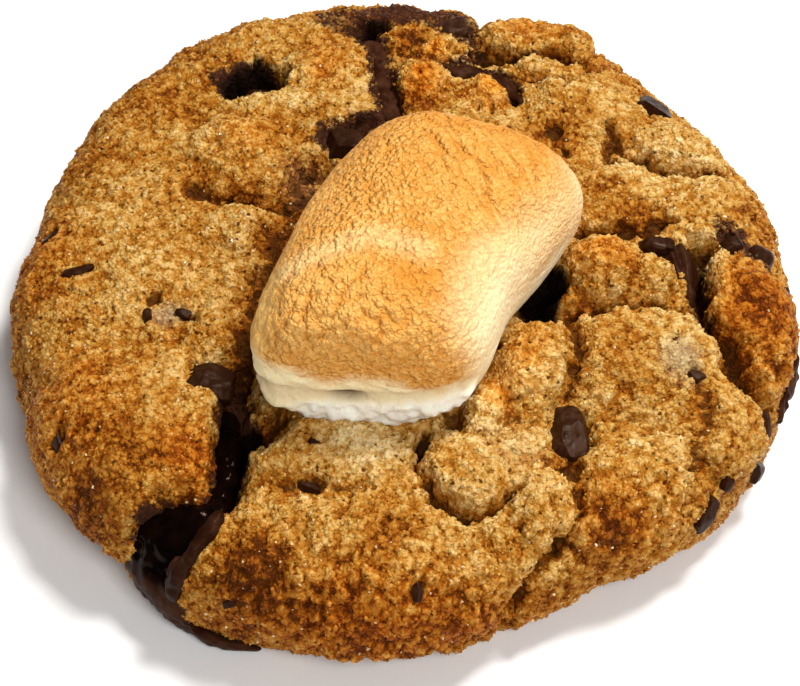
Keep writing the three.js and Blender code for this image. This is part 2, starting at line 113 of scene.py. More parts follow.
def mesh_object(name, points, face_sets, material, smooth=True):
    """A mesh from arrays: points in metres, and sets of faces with as many corners each."""
    mesh = bpy.data.meshes.new(name)
    face_sets = [np.asarray(faces, np.int32) for faces in face_sets]
    corners = np.concatenate([np.full(len(faces), faces.shape[1]) for faces in face_sets])
    loops = np.concatenate([faces.ravel() for faces in face_sets])
    mesh.vertices.add(len(points))
    mesh.vertices.foreach_set("co", np.asarray(points, np.float32).ravel())
    mesh.loops.add(len(loops))
    mesh.loops.foreach_set("vertex_index", loops)
    mesh.polygons.add(len(corners))
    mesh.polygons.foreach_set("loop_start", (np.cumsum(corners) - corners).astype(np.int32))
    mesh.polygons.foreach_set("use_smooth", np.full(len(corners), smooth))
    mesh.update(calc_edges=True)
    mesh.materials.append(material)
    made = bpy.data.objects.new(name, mesh)
    bpy.context.collection.objects.link(made)
    return made


floor_look, _, _ = new_material("pale_table", {
    "Base Color": FLOOR_COLOUR, "Roughness": 0.9, "Specular IOR Level": 0.1,
})
floor_corners = [(x * FLOOR_HALF, y * FLOOR_HALF, 0) for x, y in ((-1, -1), (1, -1), (1, 1), (-1, 1))]
floor = mesh_object("floor", floor_corners, [[(0, 1, 2, 3)]], floor_look, smooth=False)

# ------------------------------------------------------------------------------ crust
# The baked dough: one thick, lumpy round that spread and cracked on a flat tray. It is
# brown at the rim and paler inside, with a sugary crumb that shows in every split.
MM = 0.001
CENTRE_SHIFT = (-0.13, -0.26)  # brings the middle of the box over the origin
EDGE_ROUND = 7.5  # radius of the rounded edge, in millimetres like all the crust's places
UNDERCUT = 4.0  # how far the base draws in under the widest place
DOME = 4.5  # rise of the middle over the edge
DOME_REACH = 4.0  # the dome fades out this far past the outline
BASE_FADE = 4.0  # relief fades out over this length before the base
BASE_RINGS = (0.75, 0.5, 0.25)  # rings of the flat base, as shares of its reach
CRUST_CELLS = 308  # squares across the flat-laid skin

# Outline radius at every 20 degrees, counter-clockwise from +X
OUTLINE = np.array([
    49.5, 49.2, 48.0, 49.4, 49.4, 51.2, 51.8, 51.2, 48.5,
    49.5, 49.4, 49.3, 51.3, 49.4, 47.8, 46.0, 48.6, 49.5,
])

# Lumps: east, north, half width, half depth, turn in degrees, height, softness of the flank
LUMPS = [
    (-36, 6, 16, 22, 10, 1.6, 1.0),  # broad left side
    (-20.5, 18.5, 7.8, 7.8, 0, 3.2, 0.9),  # round mound upper left
    (-17, 26, 8, 3.6, -4, 1.6, 0.8),  # shelf in front of the cavity
    (-20, 4, 8.5, 4.6, 0, 1.6, 0.8),
    (-23, -11.5, 4.8, 5.2, 0, 1.4, 0.9),
    (-36, -27, 16, 15.5, 0, 2.6, 0.8),  # lower left mass
    (-27, -25, 6.5, 9.5, 0, 1.6, 0.8),  # its shoulder beside the split
    (-9, 31.5, 7.5, 9.5, 0, 1.6, 0.7),
    (-17, 40, 11, 5, 12, 1.2, 0.8),
    (2.5, 31, 4.2, 4.2, 0, 2.8, 0.8),  # small round lumps behind the marshmallow
    (4, 37.4, 3.4, 2.2, 0, 1.6, 0.8),
    (8, 35.8, 2.4, 1.8, 0, 1.2, 0.8),
    (11.2, 29, 3.3, 3.8, 0, 2.0, 0.8),
    (17.5, 39.4, 8.5, 4.9, -8, 2.1, 0.45),  # overhanging flake at the back
    (18.5, 33, 8, 2.5, -4, 1.4, 0.8),
    (24, 26, 8.5, 7, 0, 2.0, 0.7),
    (28, 12.5, 6.5, 4.8, 0, 1.2, 0.8),
    (38, 9, 6.5, 9, 20, 1.8, 0.8),
    (36, 20, 8, 5, -32, 1.6, 0.7),
    (27, 7.2, 6, 2.8, 0, 1.6, 0.8),
    (25.5, -2.4, 6.0, 5.4, 0, 4.4, 0.8),  # high lump right of the marshmallow
    (31, -3.6, 3.2, 3.6, 0, 3.2, 0.8),
    (19, -8, 2.8, 2.4, 0, 2.0, 0.8),
    (30, -15, 11, 9.5, -20, 3.4, 0.6),  # broad pale mass on the right
    (43.0, -8, 7.4, 11.5, 10, 2.8, 0.6),  # brown mass at the right edge
    (40, -23.5, 6.5, 7, 0, 2.0, 0.8),
    (16, -17.5, 5.2, 7.8, -25, 3.8, 0.7),  # ridge beside the marshmallow's near end
    (10, -24, 3.4, 4.8, 0, 2.2, 0.8),
    (13.2, -12.2, 3.6, 2.0, 20, 1.5, 0.8),
    (7.5, -32, 6, 5.2, 0, 1.8, 0.5),
    (13, -28, 6, 4, 0, 0.8, 1.0),
    (16.2, -35.2, 4.2, 5.2, 0, 2.4, 0.7),
    (-9, -29.5, 11, 5.6, 0, 1.6, 0.5),
    (-4, -46, 19, 12, 0, 2.0, 0.8),  # craggy front
    (28, -34, 11, 9.5, 0, 1.8, 0.8),
]
LUMP_OVERLAP = 0.35  # share of the lower lump that shows where two meet
PILLOW = 0.6  # below 1 the flanks of lumps rise more steeply and their tops are rounder

# Splits and creases: half width, depth, then the places that the line runs through
SPLITS = [
    (3.6, 6.0, [(-20.5, -17), (-20, -22), (-19.8, -26)]),
    (2.7, 6.0, [(-19.8, -26), (-20.6, -30), (-21.6, -34)]),
    (4.4, 5.4, [(-21, -33), (-24.5, -37), (-30, -40), (-33, -46)]),
    (4.2, 3.0, [(-11, 15), (-15.8, 4), (-18.4, -6), (-19.6, -15)]),
    (1.9, 1.8, [(-27, 11.5), (-22, 9.4), (-16, 9.4), (-11, 12)]),
    (2.0, 2.0, [(-5.6, 42), (-3.4, 37), (-2.6, 31), (-1.4, 25), (-0.4, 20)]),
    (1.5, 2.6, [(-5.2, 41.2), (-2.6, 41.8)]),
    (1.5, 1.8, [(5, 33.5), (9, 32.6), (13, 31.2), (14.7, 28)]),
    (1.4, 3.2, [(8, 36.4), (13, 35.6), (18, 34.9), (22, 35.3)]),
    (1.2, 1.4, [(17, 31.2), (22, 30.8)]),
    (1.8, 1.8, [(9.8, 39), (10.6, 43), (11.4, 52)]),
    (1.2, 2.2, [(26.3, 22.5), (27, 19.5), (26.8, 17)]),
    (1.5, 2.0, [(27.5, 20), (31, 18), (35, 16), (41, 16)]),
    (1.7, 2.2, [(20, 4.6), (25, 4), (30, 4.6), (33.5, 7)]),
    (1.9, 2.8, [(17, -9.8), (21, -9.2), (25, -8.4), (30, -8), (34, -8.4)]),
    (2.4, 5.6, [(37, 3), (37, -4), (37.6, -10), (40, -14.5), (43.5, -17.5), (47, -20)]),
    (1.4, 1.4, [(20.8, -11), (20.8, -16), (20.2, -21)]),
    (1.6, 3.0, [(2.6, -26.5), (1.6, -30.5), (3.3, -35), (7, -37.4), (10.5, -37.2)]),
    (1.4, 2.0, [(10.5, -37.2), (13.5, -34.5)]),
    (1.6, 2.2, [(20.2, -31), (20.6, -37), (18.8, -41)]),
    (2.0, 2.6, [(18.4, -40.5), (15.4, -44), (14.7, -50), (14.6, -57)]),
    (1.8, 1.4, [(36, -19.5), (36.6, -24), (35, -30)]),
    (1.5, 1.4, [(41, -12.5), (46, -15)]),
]

# Hollows: east, north, half width, half depth, turn in degrees, depth
HOLLOWS = [
    (-19.8, 30.9, 4.8, 3.9, 0, 8.5),  # cavity at the upper left
    (-19.2, 33.9, 2.5, 2.3, 0, 5.0),
    (17.2, -10.4, 2.6, 2.8, -30, 4.0),
    (-18.8, -25.0, 1.7, 2.4, 0, 2.0),  # dark hole beside the melted run
    (16.6, -5.6, 3.6, 5.2, -22, 7.0),  # deep gap right of the marshmallow
    (-16.3, -24, 4.2, 6.5, 0, 4.0),  # recess beside the split
    (20, -25.8, 4, 5, 0, 2.6),
    (6.4, -24.3, 2.2, 3.2, 0, 2.4),
    (-28, -37.9, 6.4, 4.4, 12, 5.2),  # bed of the chocolate pool
    (-5.8, 22.4, 3.8, 2.0, 20, 2.6),
    (-31, -5.6, 1.3, 0.9, 0, 1.2),  # small pits
    (-26, -9.4, 1.8, 1.0, -20, 1.6),
    (2.6, -28.3, 1.1, 2.2, 0, 1.6),
    (19.6, 21.6, 1.6, 1.3, 0, 1.6),
    (21, 18.4, 1.4, 2, 0, 1.8),
    (20.8, -37.2, 1.2, 1.4, 0, 1.6),
    (-25.2, 10, 1.1, 0.7, 0, 1.0),
    (-20, 9.2, 1.1, 0.7, 0, 0.9),
    (-15.8, 10.2, 1.8, 1.2, 0, 1.6),
    (-12.0, 15, 0.8, 0.9, 0, 1.2),
]
HOLLOW_WALL = 1.2  # steepness of a hollow's wall

# Chunks: name, east, north, size, turn, lean to the east, lean to the north, and how far
# the middle stands over the smooth skin
CHUNKS = [
    ("chunk_split_head", -23.2, -18.4, (8.0, 4.8, 3.0), -22, 8, 4, -0.1),
    ("chip_left", -40.8, -1.3, (5.2, 2.0, 1.6), 12, 0, 0, 0.9),
    ("chip_left_edge", -44.6, 5.6, (1.8, 2.8, 1.8), -30, 0, 0, 0.4),
    ("chip_lower_left", -41, -24.8, (2.0, 3.2, 1.8), -8, 0, 0, 1.9),
    ("chunk_cavity", -18.6, 31.6, (7.0, 4.6, 3.0), 8, 8, 0, -4.6),
    ("chunk_behind_marshmallow", -7.4, 19.2, (5.8, 5.6, 4.0), -12, 0, 8, -0.5),
    ("chunk_back_edge", 6.6, 41.4, (4.6, 4.2, 3.4), 20, 0, 0, 0.2),
    ("chip_back_right", 32.6, 27.4, (5.6, 3.2, 1.8), -38, 0, 0, 0.7),
    ("chunk_right_block", 31.6, 1.7, (4.6, 2.8, 3.2), -10, 0, 10, 1.4),
    ("chunk_right_rim_a", 41.2, 3.6, (2.8, 3.0, 2.6), 25, 0, 0, 0.3),
    ("chunk_right_rim_b", 45.0, 2.4, (3.4, 3.0, 2.8), -10, 0, 0, 0.5),
    ("chip_right_edge", 47.6, -2.2, (1.8, 1.4, 1.6), 0, 0, 0, 1.3),
    ("chunk_right_low_a", 45.4, -21.6, (2.6, 4.4, 2.6), 10, 0, 0, 0.5),
    ("chunk_right_low_b", 47.0, -26.4, (3.0, 3.6, 2.4), 20, 0, 0, 0.6),
    ("chunk_front_face", 19.9, -25.9, (4.2, 7.4, 4.8), 8, -24, 0, 0.1),
    ("chunk_front_right_a", 38.2, -34.0, (2.8, 4.8, 2.4), -18, 0, 0, 0.8),
    ("chunk_front_right_b", 40.2, -29.6, (1.8, 2.4, 2.0), 0, 0, 0, 0.9),
    ("chip_pale_mass_a", 33.2, -14.6, (1.8, 1.6, 1.6), 30, 0, 0, 3.1),
    ("chip_pale_mass_b", 35.4, -18.4, (2.4, 1.6, 1.8), -20, 0, 0, 1.6),
    ("chip_front_a", -10.5, -28.3, (2.6, 1.4, 1.4), 0, 0, 0, 0.9),
    ("chip_front_b", -11.0, -34.0, (3.0, 1.4, 1.4), -8, 0, 0, 0.0),
    ("chip_front_c", 2.5, -28.3, (1.5, 3.4, 1.4), 0, 0, 0, -0.9),
    ("chip_front_d", 1.6, -46.6, (1.3, 2.4, 1.4), 0, 0, 0, 1.8),
    ("chip_front_e", -21.2, -47.6, (2.2, 1.6, 1.4), 20, 0, 0, 0.4),
    ("chip_grey_a", -31.4, -9.0, (1.4, 2.0, 1.4), 0, 0, 0, 1.0),
    ("chip_grey_b", -27.0, -8.7, (2.2, 1.2, 1.4), -25, 0, 0, 0.6),
]
CHUNK_ROOM = 0.62  # half size of a chunk's pocket, as a share of the chunk
POCKET_EDGE = 1 / 3.5  # share of a pocket that its wall takes up
POCKET_RISE = 0.1  # share of its height by which a chunk stands over its pocket


def ease(t):
    """From 0 to 1 with soft ends."""
    t = np.clip(t, 0, 1)
    return t * t * (3 - 2 * t)


def share_out(east, north, spot):
    """Distance from places to a lump's or hollow's middle, as a share of its half sizes."""
    angle = math.radians(spot[4])
    de, dn = east - spot[0], north - spot[1]
    along = (de * math.cos(angle) + dn * math.sin(angle)) / spot[2]
    across = (dn * math.cos(angle) - de * math.sin(angle)) / spot[3]
    return np.hypot(along, across)


def spot_share(east, north, spot, edge=1.0):
    """How much of a spot holds at places: 1 inside and 0 past its rim, with a soft edge."""
    return ease((1 - share_out(east, north, spot)) / edge)


def distance_to_line(east, north, places):
    """Distance from places to a line that runs through a few others."""
    nearest = np.full(east.shape, np.inf)
    for (e0, n0), (e1, n1) in zip(places, places[1:]):
        length2 = (e1 - e0) ** 2 + (n1 - n0) ** 2
        t = np.clip(((east - e0) * (e1 - e0) + (north - n0) * (n1 - n0)) / length2, 0, 1)
        away = np.hypot(east - e0 - t * (e1 - e0), north - n0 - t * (n1 - n0))
        nearest = np.minimum(nearest, away)
    return nearest


def curve_through(f, p0, p1, p2, p3):
    """A smooth curve through four values in a row, at share f of the way from p1 to p2."""
    curve = 2 * p1 + (p2 - p0) * f + (2 * p0 - 5 * p1 + 4 * p2 - p3) * f**2
    return (curve + (3 * p1 - p0 - 3 * p2 + p3) * f**3) / 2


def outline_radius(bearing):
    """Outline radius at a bearing: a smooth closed curve through the OUTLINE values."""
    count = len(OUTLINE)
    step = (bearing / (2 * math.pi) * count) % count
    first = np.floor(step).astype(int)
    return curve_through(step - first, *[OUTLINE[(first + k) % count] for k in (-1, 0, 1, 2)])


def skin_reach(bearing):
    """Length of the skin from the middle of the top to the base."""
    return outline_radius(bearing) - EDGE_ROUND + math.pi * EDGE_ROUND


def skin_point(east, north, lift=0.0):
    """Points over places of the flat-laid skin, lifted along its normal, in millimetres."""
    walked, bearing = np.hypot(east, north), np.arctan2(north, east)
    outline = outline_radius(bearing)
    top_reach = outline - EDGE_ROUND
    bend = np.clip((walked - top_reach) / EDGE_ROUND, 0, math.pi)
    upper = top_reach + EDGE_ROUND * np.sin(bend)
    lower = outline - UNDERCUT + UNDERCUT * np.sin(bend)
    radius = np.where(bend > math.pi / 2, lower, np.where(bend > 0, upper, walked))
    radius = radius + lift * np.sin(bend)
    dome = DOME * np.maximum(1 - (walked / (outline + DOME_REACH)) ** 2, 0)
    x = CENTRE_SHIFT[0] + radius * np.cos(bearing)
    y = CENTRE_SHIFT[1] + radius * np.sin(bearing)
    z = EDGE_ROUND + EDGE_ROUND * np.cos(bend) + dome + lift * np.cos(bend)
    return np.stack([x, y, z], -1)


def lattice_random(seed, *cells):
    """A fixed random share from 0 to 1 for each cell of a lattice."""
    mixed = np.full(np.shape(cells[0]), 0x9E3779B97F4A7C15 * (seed + 1) % 2**64, np.uint64)
    for cell in cells:
        mixed = (mixed ^ cell.astype(np.int64).astype(np.uint64)) * np.uint64(0xBF58476D1CE4E5B9)
        mixed = mixed ^ (mixed >> np.uint64(29))
    return (mixed >> np.uint64(40)) / 2**24


def waves(size, seed, *axes):
    """Smooth random swells from -1 to 1, one for each length of that size."""
    cells = [np.floor(axis / size) for axis in axes]
    parts = [ease(axis / size - cell) for axis, cell in zip(axes, cells)]
    total = np.zeros(np.shape(axes[0]))
    for corner in itertools.product((0, 1), repeat=len(axes)):
        weight = np.ones(total.shape)
        for k, part in zip(corner, parts):
            weight = weight * (part if k else 1 - part)
        total += weight * lattice_random(seed, *[cell + k for cell, k in zip(cells, corner)])
    return 2 * total - 1


def pebbles(size, seed, *axes):
    """Nearest and second distance to scattered points, and the nearest one's random share."""
    axes = [
        axis / size + 0.4 * waves(1.3 * size, seed + 10 + k, *axes) for k, axis in enumerate(axes)
    ]
    cells = [np.floor(axis) for axis in axes]
    first = np.full(axes[0].shape, 9.0)
    second = np.full(axes[0].shape, 9.0)
    share = np.zeros(axes[0].shape)
    for near in itertools.product((-1, 0, 1), repeat=len(axes)):
        spot = [cell + k for cell, k in zip(cells, near)]
        away2 = np.zeros(first.shape)
        for k, (axis, cell) in enumerate(zip(axes, spot)):
            away2 += (axis - cell - 0.1 - 0.8 * lattice_random(seed + k, *spot)) ** 2
        away = np.sqrt(away2)
        nearer = away < first
        second = np.where(nearer, first, np.minimum(second, away))
        share = np.where(nearer, lattice_random(seed + 5, *spot), share)
        first = np.where(nearer, away, first)
    return first, second, share


def ragged_edge(seed, east, north):
    """How far, in millimetres, the crumb moves the edges of lumps and splits."""
    return 0.55 * waves(2.4, seed, east, north) + 0.30 * waves(0.9, seed + 1, east, north)


def main_relief(east, north):
    """Height of lumps, splits and hollows, with edges that the crumb makes ragged."""
    east, north = east + ragged_edge(61, east, north), north + ragged_edge(63, east, north)
    height = np.zeros(east.shape)
    for lump in LUMPS:
        rise = lump[5] * spot_share(east, north, lump, lump[6]) ** PILLOW
        height = np.maximum(height, rise) + LUMP_OVERLAP * np.minimum(height, rise)
    for half_width, depth, places in SPLITS:
        height = height - depth * ease(1 - distance_to_line(east, north, places) / half_width)
    for hollow in HOLLOWS:
        height = height - hollow[5] * spot_share(east, north, hollow, 1 / HOLLOW_WALL)
    for _, mid_east, mid_north, (width, depth, tall), turn, _, _, over in CHUNKS:
        pocket = (mid_east, mid_north, width * CHUNK_ROOM, depth * CHUNK_ROOM, turn)
        bed = np.minimum(height, over - POCKET_RISE * tall)
        height = height + spot_share(east, north, pocket, POCKET_EDGE) * (bed - height)
    return height


# How craggy the crust is: east, north, half width, half depth, turn, amount over the rest
CRAGS = [
    (-4, -46, 28, 16, 0, 0.7), (28, -34, 14, 12, 0, 0.6), (36, 6, 14, 26, 0, 0.5),
    (14, 36, 16, 10, 0, 0.6), (-16, -4, 6, 20, 0, 0.3),
]
CRAGGINESS = 0.62  # how craggy the crust is everywhere
CRAG_EDGE = 0.6
# Clods of crumb: spacing, seed, height, widest gap between two, how far they are set in
KNOBS = (5.2, 31, 1.12, 0.45, 0.175)
CLODS = (2.3, 21, 1.05, 0.42, 0.15)
CRUMBS = (1.15, 41, 0.72, 0.40, 0.12)
PIT_DEPTH = 0.9  # one crumb in ten baked away and left a pit
PIT_WIDTH = 0.55
PITTED = 0.86  # random share of a crumb from which it has left a pit
GRIT = 0.10  # height of the finest roughness, either way
GRIT_CELLS = 40  # for each millimetre


def clods(east, north, spacing, seed, height, gap, sink):
    """Height of clods of crumb, distance to the nearest one, and its random share."""
    first, second, share = pebbles(spacing, seed, east, north)
    return height * (0.3 + share) * np.minimum(second - first, gap) - sink, first, share


def crag_relief(east, north):
    """Swells, crags and crumbs that the mixing and baking left on the skin."""
    amount = np.full(east.shape, CRAGGINESS)
    for spot in CRAGS:
        amount = amount + spot[5] * spot_share(east, north, spot, CRAG_EDGE)
    swells = 0.50 * waves(7.0, 11, east, north) + 0.42 * waves(3.4, 12, east, north)
    crags = clods(east, north, *CLODS)[0] + clods(east, north, *KNOBS)[0]
    crumbs, away, share = clods(east, north, *CRUMBS)
    pits = PIT_DEPTH * np.clip((share - PITTED) * 10, 0, 1) * np.clip(1 - away / PIT_WIDTH, 0, 1)
    grit = GRIT * (2 * lattice_random(71, east * GRIT_CELLS, north * GRIT_CELLS) - 1)
    return (0.5 + 0.5 * amount) * (swells + crumbs) + amount * crags + grit - pits


def edge_fade(east, north):
    """Fades the relief out before the base."""
    left = skin_reach(np.arctan2(north, east)) - np.hypot(east, north)
    return np.clip(left / BASE_FADE, 0, 1)


def square_to_disc(a, b):
    """Places of a square, -1 to 1 each way, moved onto the round flat-laid skin."""
    reach = np.maximum(np.abs(a), np.abs(b))
    wide = np.abs(a) > np.abs(b)
    safe_a, safe_b = np.where(a == 0, 1, a), np.where(b == 0, 1, b)
    across = math.pi / 4 * b / safe_a + np.where(a < 0, math.pi, 0)
    upward = math.pi / 2 - math.pi / 4 * a / safe_b + np.where(b < 0, math.pi, 0)
    bearing = np.where(wide, across, upward)
    walked = reach * skin_reach(bearing)
    return walked * np.cos(bearing), walked * np.sin(bearing)


def blurred(grid, width):
    """A grid of values evened out over a number of squares."""
    reach = max(int(3 * width), 1)
    weights = np.exp(-0.5 * (np.arange(-reach, reach + 1) / width) ** 2)
    weights /= weights.sum()
    padded = np.pad(grid, reach, mode="edge")
    rows = sum(w * padded[k:k + grid.shape[0], :] for k, w in enumerate(weights))
    return sum(w * rows[:, k:k + grid.shape[1]] for k, w in enumerate(weights))


def grid_squares(cells):
    """Corners of the squares of a grid, which is numbered row by row."""
    row = cells + 1
    corner = (np.arange(cells)[:, None] * row + np.arange(cells)[None, :]).ravel()
    return np.stack([corner, corner + 1, corner + row + 1, corner + row], -1)


def grid_normals(points):
    """Unit normals of a grid of points."""
    out = np.cross(np.gradient(points, axis=1), np.gradient(points, axis=0))
    return out / np.linalg.norm(out, axis=-1, keepdims=True)


side = np.linspace(-1, 1, CRUST_CELLS + 1)
skin_east, skin_north = square_to_disc(*np.meshgrid(side, side))
fade = edge_fade(skin_east, skin_north)
broad_height = main_relief(skin_east, skin_north) * fade
fine_height = crag_relief(skin_east, skin_north) * fade
broad_points = skin_point(skin_east, skin_north, broad_height)
crust_points = broad_points + grid_normals(broad_points) * fine_height[..., None]
crust_points[..., 2] = np.maximum(crust_points[..., 2], 0.0)
row = CRUST_CELLS + 1
edge = np.arange(CRUST_CELLS)
rim_loop = np.concatenate([
    edge, edge * row + CRUST_CELLS, CRUST_CELLS * row + CRUST_CELLS - edge,
    (CRUST_CELLS - edge) * row,
])
base_middle = np.array([CENTRE_SHIFT[0], CENTRE_SHIFT[1], 0.0])
rim_points = crust_points.reshape(-1, 3)[rim_loop]
base_rings = [base_middle + (rim_points - base_middle) * share for share in BASE_RINGS]
all_points = np.concatenate([crust_points.reshape(-1, 3), *base_rings, base_middle[None]])
rings = [rim_loop]
rings += [
    row * row + k * len(rim_loop) + np.arange(len(rim_loop)) for k in range(len(BASE_RINGS))
]
base_faces = np.concatenate([
    np.stack([outer, inner, np.roll(inner, -1), np.roll(outer, -1)], -1)
    for outer, inner in zip(rings, rings[1:])
])
middle = np.full(len(rim_loop), len(all_points) - 1)
fan_faces = np.stack([rings[-1], middle, np.roll(rings[-1], -1)], -1)

# How brown the crust baked, plus painted shade in shadowed creases and beside the marshmallow, and some
# spots made paler to lift shadow: east, north, half width, half depth, turn, amount over the rest
BROWNING_AND_SHADE = [
    (-36, -30, 14, 14, 0, 0.14), (-34, 6, 9, 16, 0, -0.06), (-47, 2, 8, 28, 0, 0.08),
    (42, -4.5, 6.5, 7, 0, 0.22), (41.5, -9.5, 5, 4, 0, 0.10), (42, -13, 6, 8, 0, 0.16),
    (47, -8, 6, 10, 0, 0.12), (18, 40, 12, 7, 0, 0.08), (-22, -26, 4, 10, 0, 0.16),
    (-17, -25, 3.2, 4.5, 0, 0.45), (-4, -52, 28, 9, 0, 0.20), (-18, -44, 7, 6, 0, 0.40),
    (24.5, -37, 6.5, 6, 0, 0.38), (36, 16, 12, 9, 0, -0.32), (29, 6.5, 7, 3.6, 0, 0.40),
    (27, -15, 5, 5, 0, 0.16), (24.4, -3, 6, 5, 0, 0.10), (-1, 44.5, 11, 3.4, 0, 0.40),
    (1.5, 38, 5.5, 4.5, 0, 0.34), (15, 30.5, 5, 5, 0, 0.18), (-21.5, 34, 7, 6, 0, 0.22),
    (30, -26.5, 8, 6, 0, -0.34), (2.5, 31, 4, 4, 0, 0.10), (11.5, 28.5, 4, 4, 0, 0.06),
    (-10, 29, 4, 8, 0, 0.10), (-17, 26, 8, 4, 0, -0.14), (-31, 29, 10, 6, -40, 0.18),
    (-25, -26, 6, 6, 0, 0.06), (-20.5, 19, 8, 8, 0, 0.08), (-13, 10, 6, 12, 0, 0.14),
    (-2, -39, 8, 5, 0, 0.16), (-5, -29, 8, 5, 0, -0.50), (0, 45, 10, 4, 0, 0.40),
    (-38, -36, 8, 8, 0, 0.12), (10, -24, 20, 10, 0, -0.20), (33, -14, 6, 8, 0, -0.20),
    (38, 1, 4, 7, 0, -0.20), (-45.5, -9, 6, 9, 0, -0.22), (-4, -49, 9, 5, 0, 0.10),
    (19, -29.5, 4, 4, 0, 0.24), (13.5, -23.5, 4, 4, 0, 0.16), (-17.5, 4.5, 4.5, 4, 0, 0.20),
    (27, -16, 6, 5, 0, 0.10), (-24.5, 33.5, 4, 4, 0, 0.20), (-16, -1.5, 4.5, 19, -15, 0.20),
    (8, -44, 10, 8, 0, -0.10), (20, 22.5, 6, 7, 0, 0.30), (27, 11.6, 5, 4, 0, 0.26),
    (2, 26.5, 5, 3, 0, 0.22), (-25, -31, 6, 6, 0, 0.20), (-27.5, -35.5, 7, 2.4, 10, 0.45),
    (-27, 13, 8, 6, 0, 0.16), (-19.5, 11, 6, 3.4, 0, 0.30), (20.5, -7.5, 4, 3, 0, 0.30),
    (-21, -12, 4.5, 4.5, 0, 0.26), (16.5, -12, 4, 4, 0, 0.22), (-29, -29, 7, 6, 0, 0.12),
    (20.5, -27, 4, 5, 0, 0.14), (15.5, -33, 5.5, 5, 0, -0.14), (-25, -4, 6, 6, 0, -0.10),
]
EVEN_BROWN = 0.485  # in the middle
RIM_BROWN = 0.16  # more than that at the rim
BROWN_FROM, BROWN_TO = 30.0, 62.0  # walked from the middle
BROWN_DRIFT = [(9.0, 43, 0.07), (4.0, 44, 0.07), (2.0, 45, 0.05)]  # length, seed, amount


def crust_browning_and_shade(east, north):
    """How brown the crust baked at places, with painted shade and lightening from the spots."""
    outward = (np.hypot(east, north) - BROWN_FROM) / (BROWN_TO - BROWN_FROM)
    brown = EVEN_BROWN + RIM_BROWN * ease(outward)
    for spot in BROWNING_AND_SHADE:
        brown = brown + spot[5] * spot_share(east, north, spot)
    for length, seed, amount in BROWN_DRIFT:
        brown = brown + amount * waves(length, seed, east, north)
    return brown


# Grey crumb, where flour and crushed chocolate show: east, north, half sizes, turn, amount
GREY_CRUMB = [
    (-29, -8.6, 3.2, 2.8, 0, 0.55), (33.5, -17, 3.8, 4.2, 0, 0.6), (-13, 14, 4, 5, 0, 0.15),
    (13, -29, 6, 4.5, 0, 0.15),
]

# Chocolate smeared into the crumb: half width, amount, then the places that it runs through
SMEARS = [
    (3.0, 1.0, [(-20.5, -18), (-20, -25), (-20.8, -32), (-23.5, -38), (-29, -43), (-32, -52)]),
    (4.6, 1.0, [(-25.5, -37.6), (-30.5, -39)]),
    (2.8, 0.9, [(-5.4, 42), (-3.4, 36), (-2.4, 29), (-0.9, 22)]),
    (2.8, 1.0, [(-9.6, 20.6), (-6, 22.6), (-2.2, 23.8)]),
    (4.6, 0.76, [(-9, 43.5), (-3, 44.6), (3, 44.6), (7, 42.5)]),
    (2.6, 0.9, [(5.5, 43), (8.5, 40)]),
    (2.0, 0.85, [(5, 33.8), (10, 33), (14, 30.5), (14.6, 28)]),
    (1.6, 0.7, [(9, 41), (9.5, 37), (8, 33)]),
    (1.0, 0.6, [(14, 35.4), (16, 35.0), (21, 35.2)]),
    (2.3, 0.8, [(36.6, 1), (36.8, -6), (37.4, -11)]),
    (3.0, 0.9, [(41, 5), (45, 2)]),
    (4.2, 1.0, [(-22, 31.6), (-18.6, 32)]),
    (2.6, 0.9, [(-18.6, -24), (-18.8, -27)]),
    (2.2, 1.0, [(15.4, -3), (17.4, -8)]),
]

# Places with a warm amber glow, where butter and sugar browned: east, north, half sizes,
# turn, amount
AMBER = [
    (2.2, 29.5, 4.4, 4.4, 0, 0.9), (4.4, 36.4, 3.0, 2.4, 0, 0.9), (17, 41, 9, 5, 0, 0.5),
    (-20.5, 19, 7, 7, 0, 0.4), (-10, 33, 6, 8, 0, 0.4), (25, -1.5, 7, 5, 0, 0.55),
    (43, -8, 9, 14, 0, 0.45), (15, -18, 4, 6, -20, 0.35), (-25, -30, 7, 8, 0, 0.5),
    (-42, -22, 14, 16, 0, 0.5), (-46, 2, 10, 14, 0, 0.4), (-2, -50, 28, 10, 0, 0.5),
    (26, -36, 12, 7, 0, 0.3), (11.2, 28.5, 5, 5, 0, 0.8), (11, -22, 4, 5, 0, 0.6),
]

# Deep holes, painted near black as shade where hardly any light falls: east, north, half sizes, turn, amount
HOLE_SHADE_SPOTS = [
    (-19.8, 30.9, 4.7, 3.8, 0, 1.0), (-19.2, 33.6, 2.4, 2.3, 0, 1.0), (16.8, -5.6, 4.0, 5.4, -22, 1.0),
    (17.2, -10.2, 2.2, 2.4, -30, 0.8), (-18.8, -25.0, 2.2, 3.0, 0, 1.0), (-3.4, 42.2, 2.0, 1.6, 0, 0.9),
]
GREY_EDGE = 0.8
HOLE_EDGE = 0.2
SMEAR_EDGE = 0.55


def strongest(spots, east, north, edge=1.0):
    """The largest amount of the spots that cover a place, with soft edges."""
    most = np.zeros(east.shape)
    for spot in spots:
        most = np.maximum(most, spot[5] * spot_share(east, north, spot, edge))
    return most


def smear_share(east, north):
    """How much chocolate is smeared into the crumb at places."""
    smear = np.zeros(east.shape)
    ragged = 0.21 * waves(1.8, 51, east, north) + 0.15 * waves(0.8, 52, east, north)
    for half_width, amount, places in SMEARS:
        near = 1 - distance_to_line(east, north, places) / half_width
        smear = np.maximum(smear, amount * ease((near + ragged) / SMEAR_EDGE))
    return smear


def baked_shares(east, north):
    """What the crust's materials read at places, by name."""
    return (
        # brown: how brown the crust baked, with painted shade and lightening from the browning spots
        ("brown", crust_browning_and_shade(east, north)),
        ("grey", strongest(GREY_CRUMB, east, north, GREY_EDGE)),
        ("amber", strongest(AMBER, east, north)),
        ("smear", smear_share(east, north)),
    )


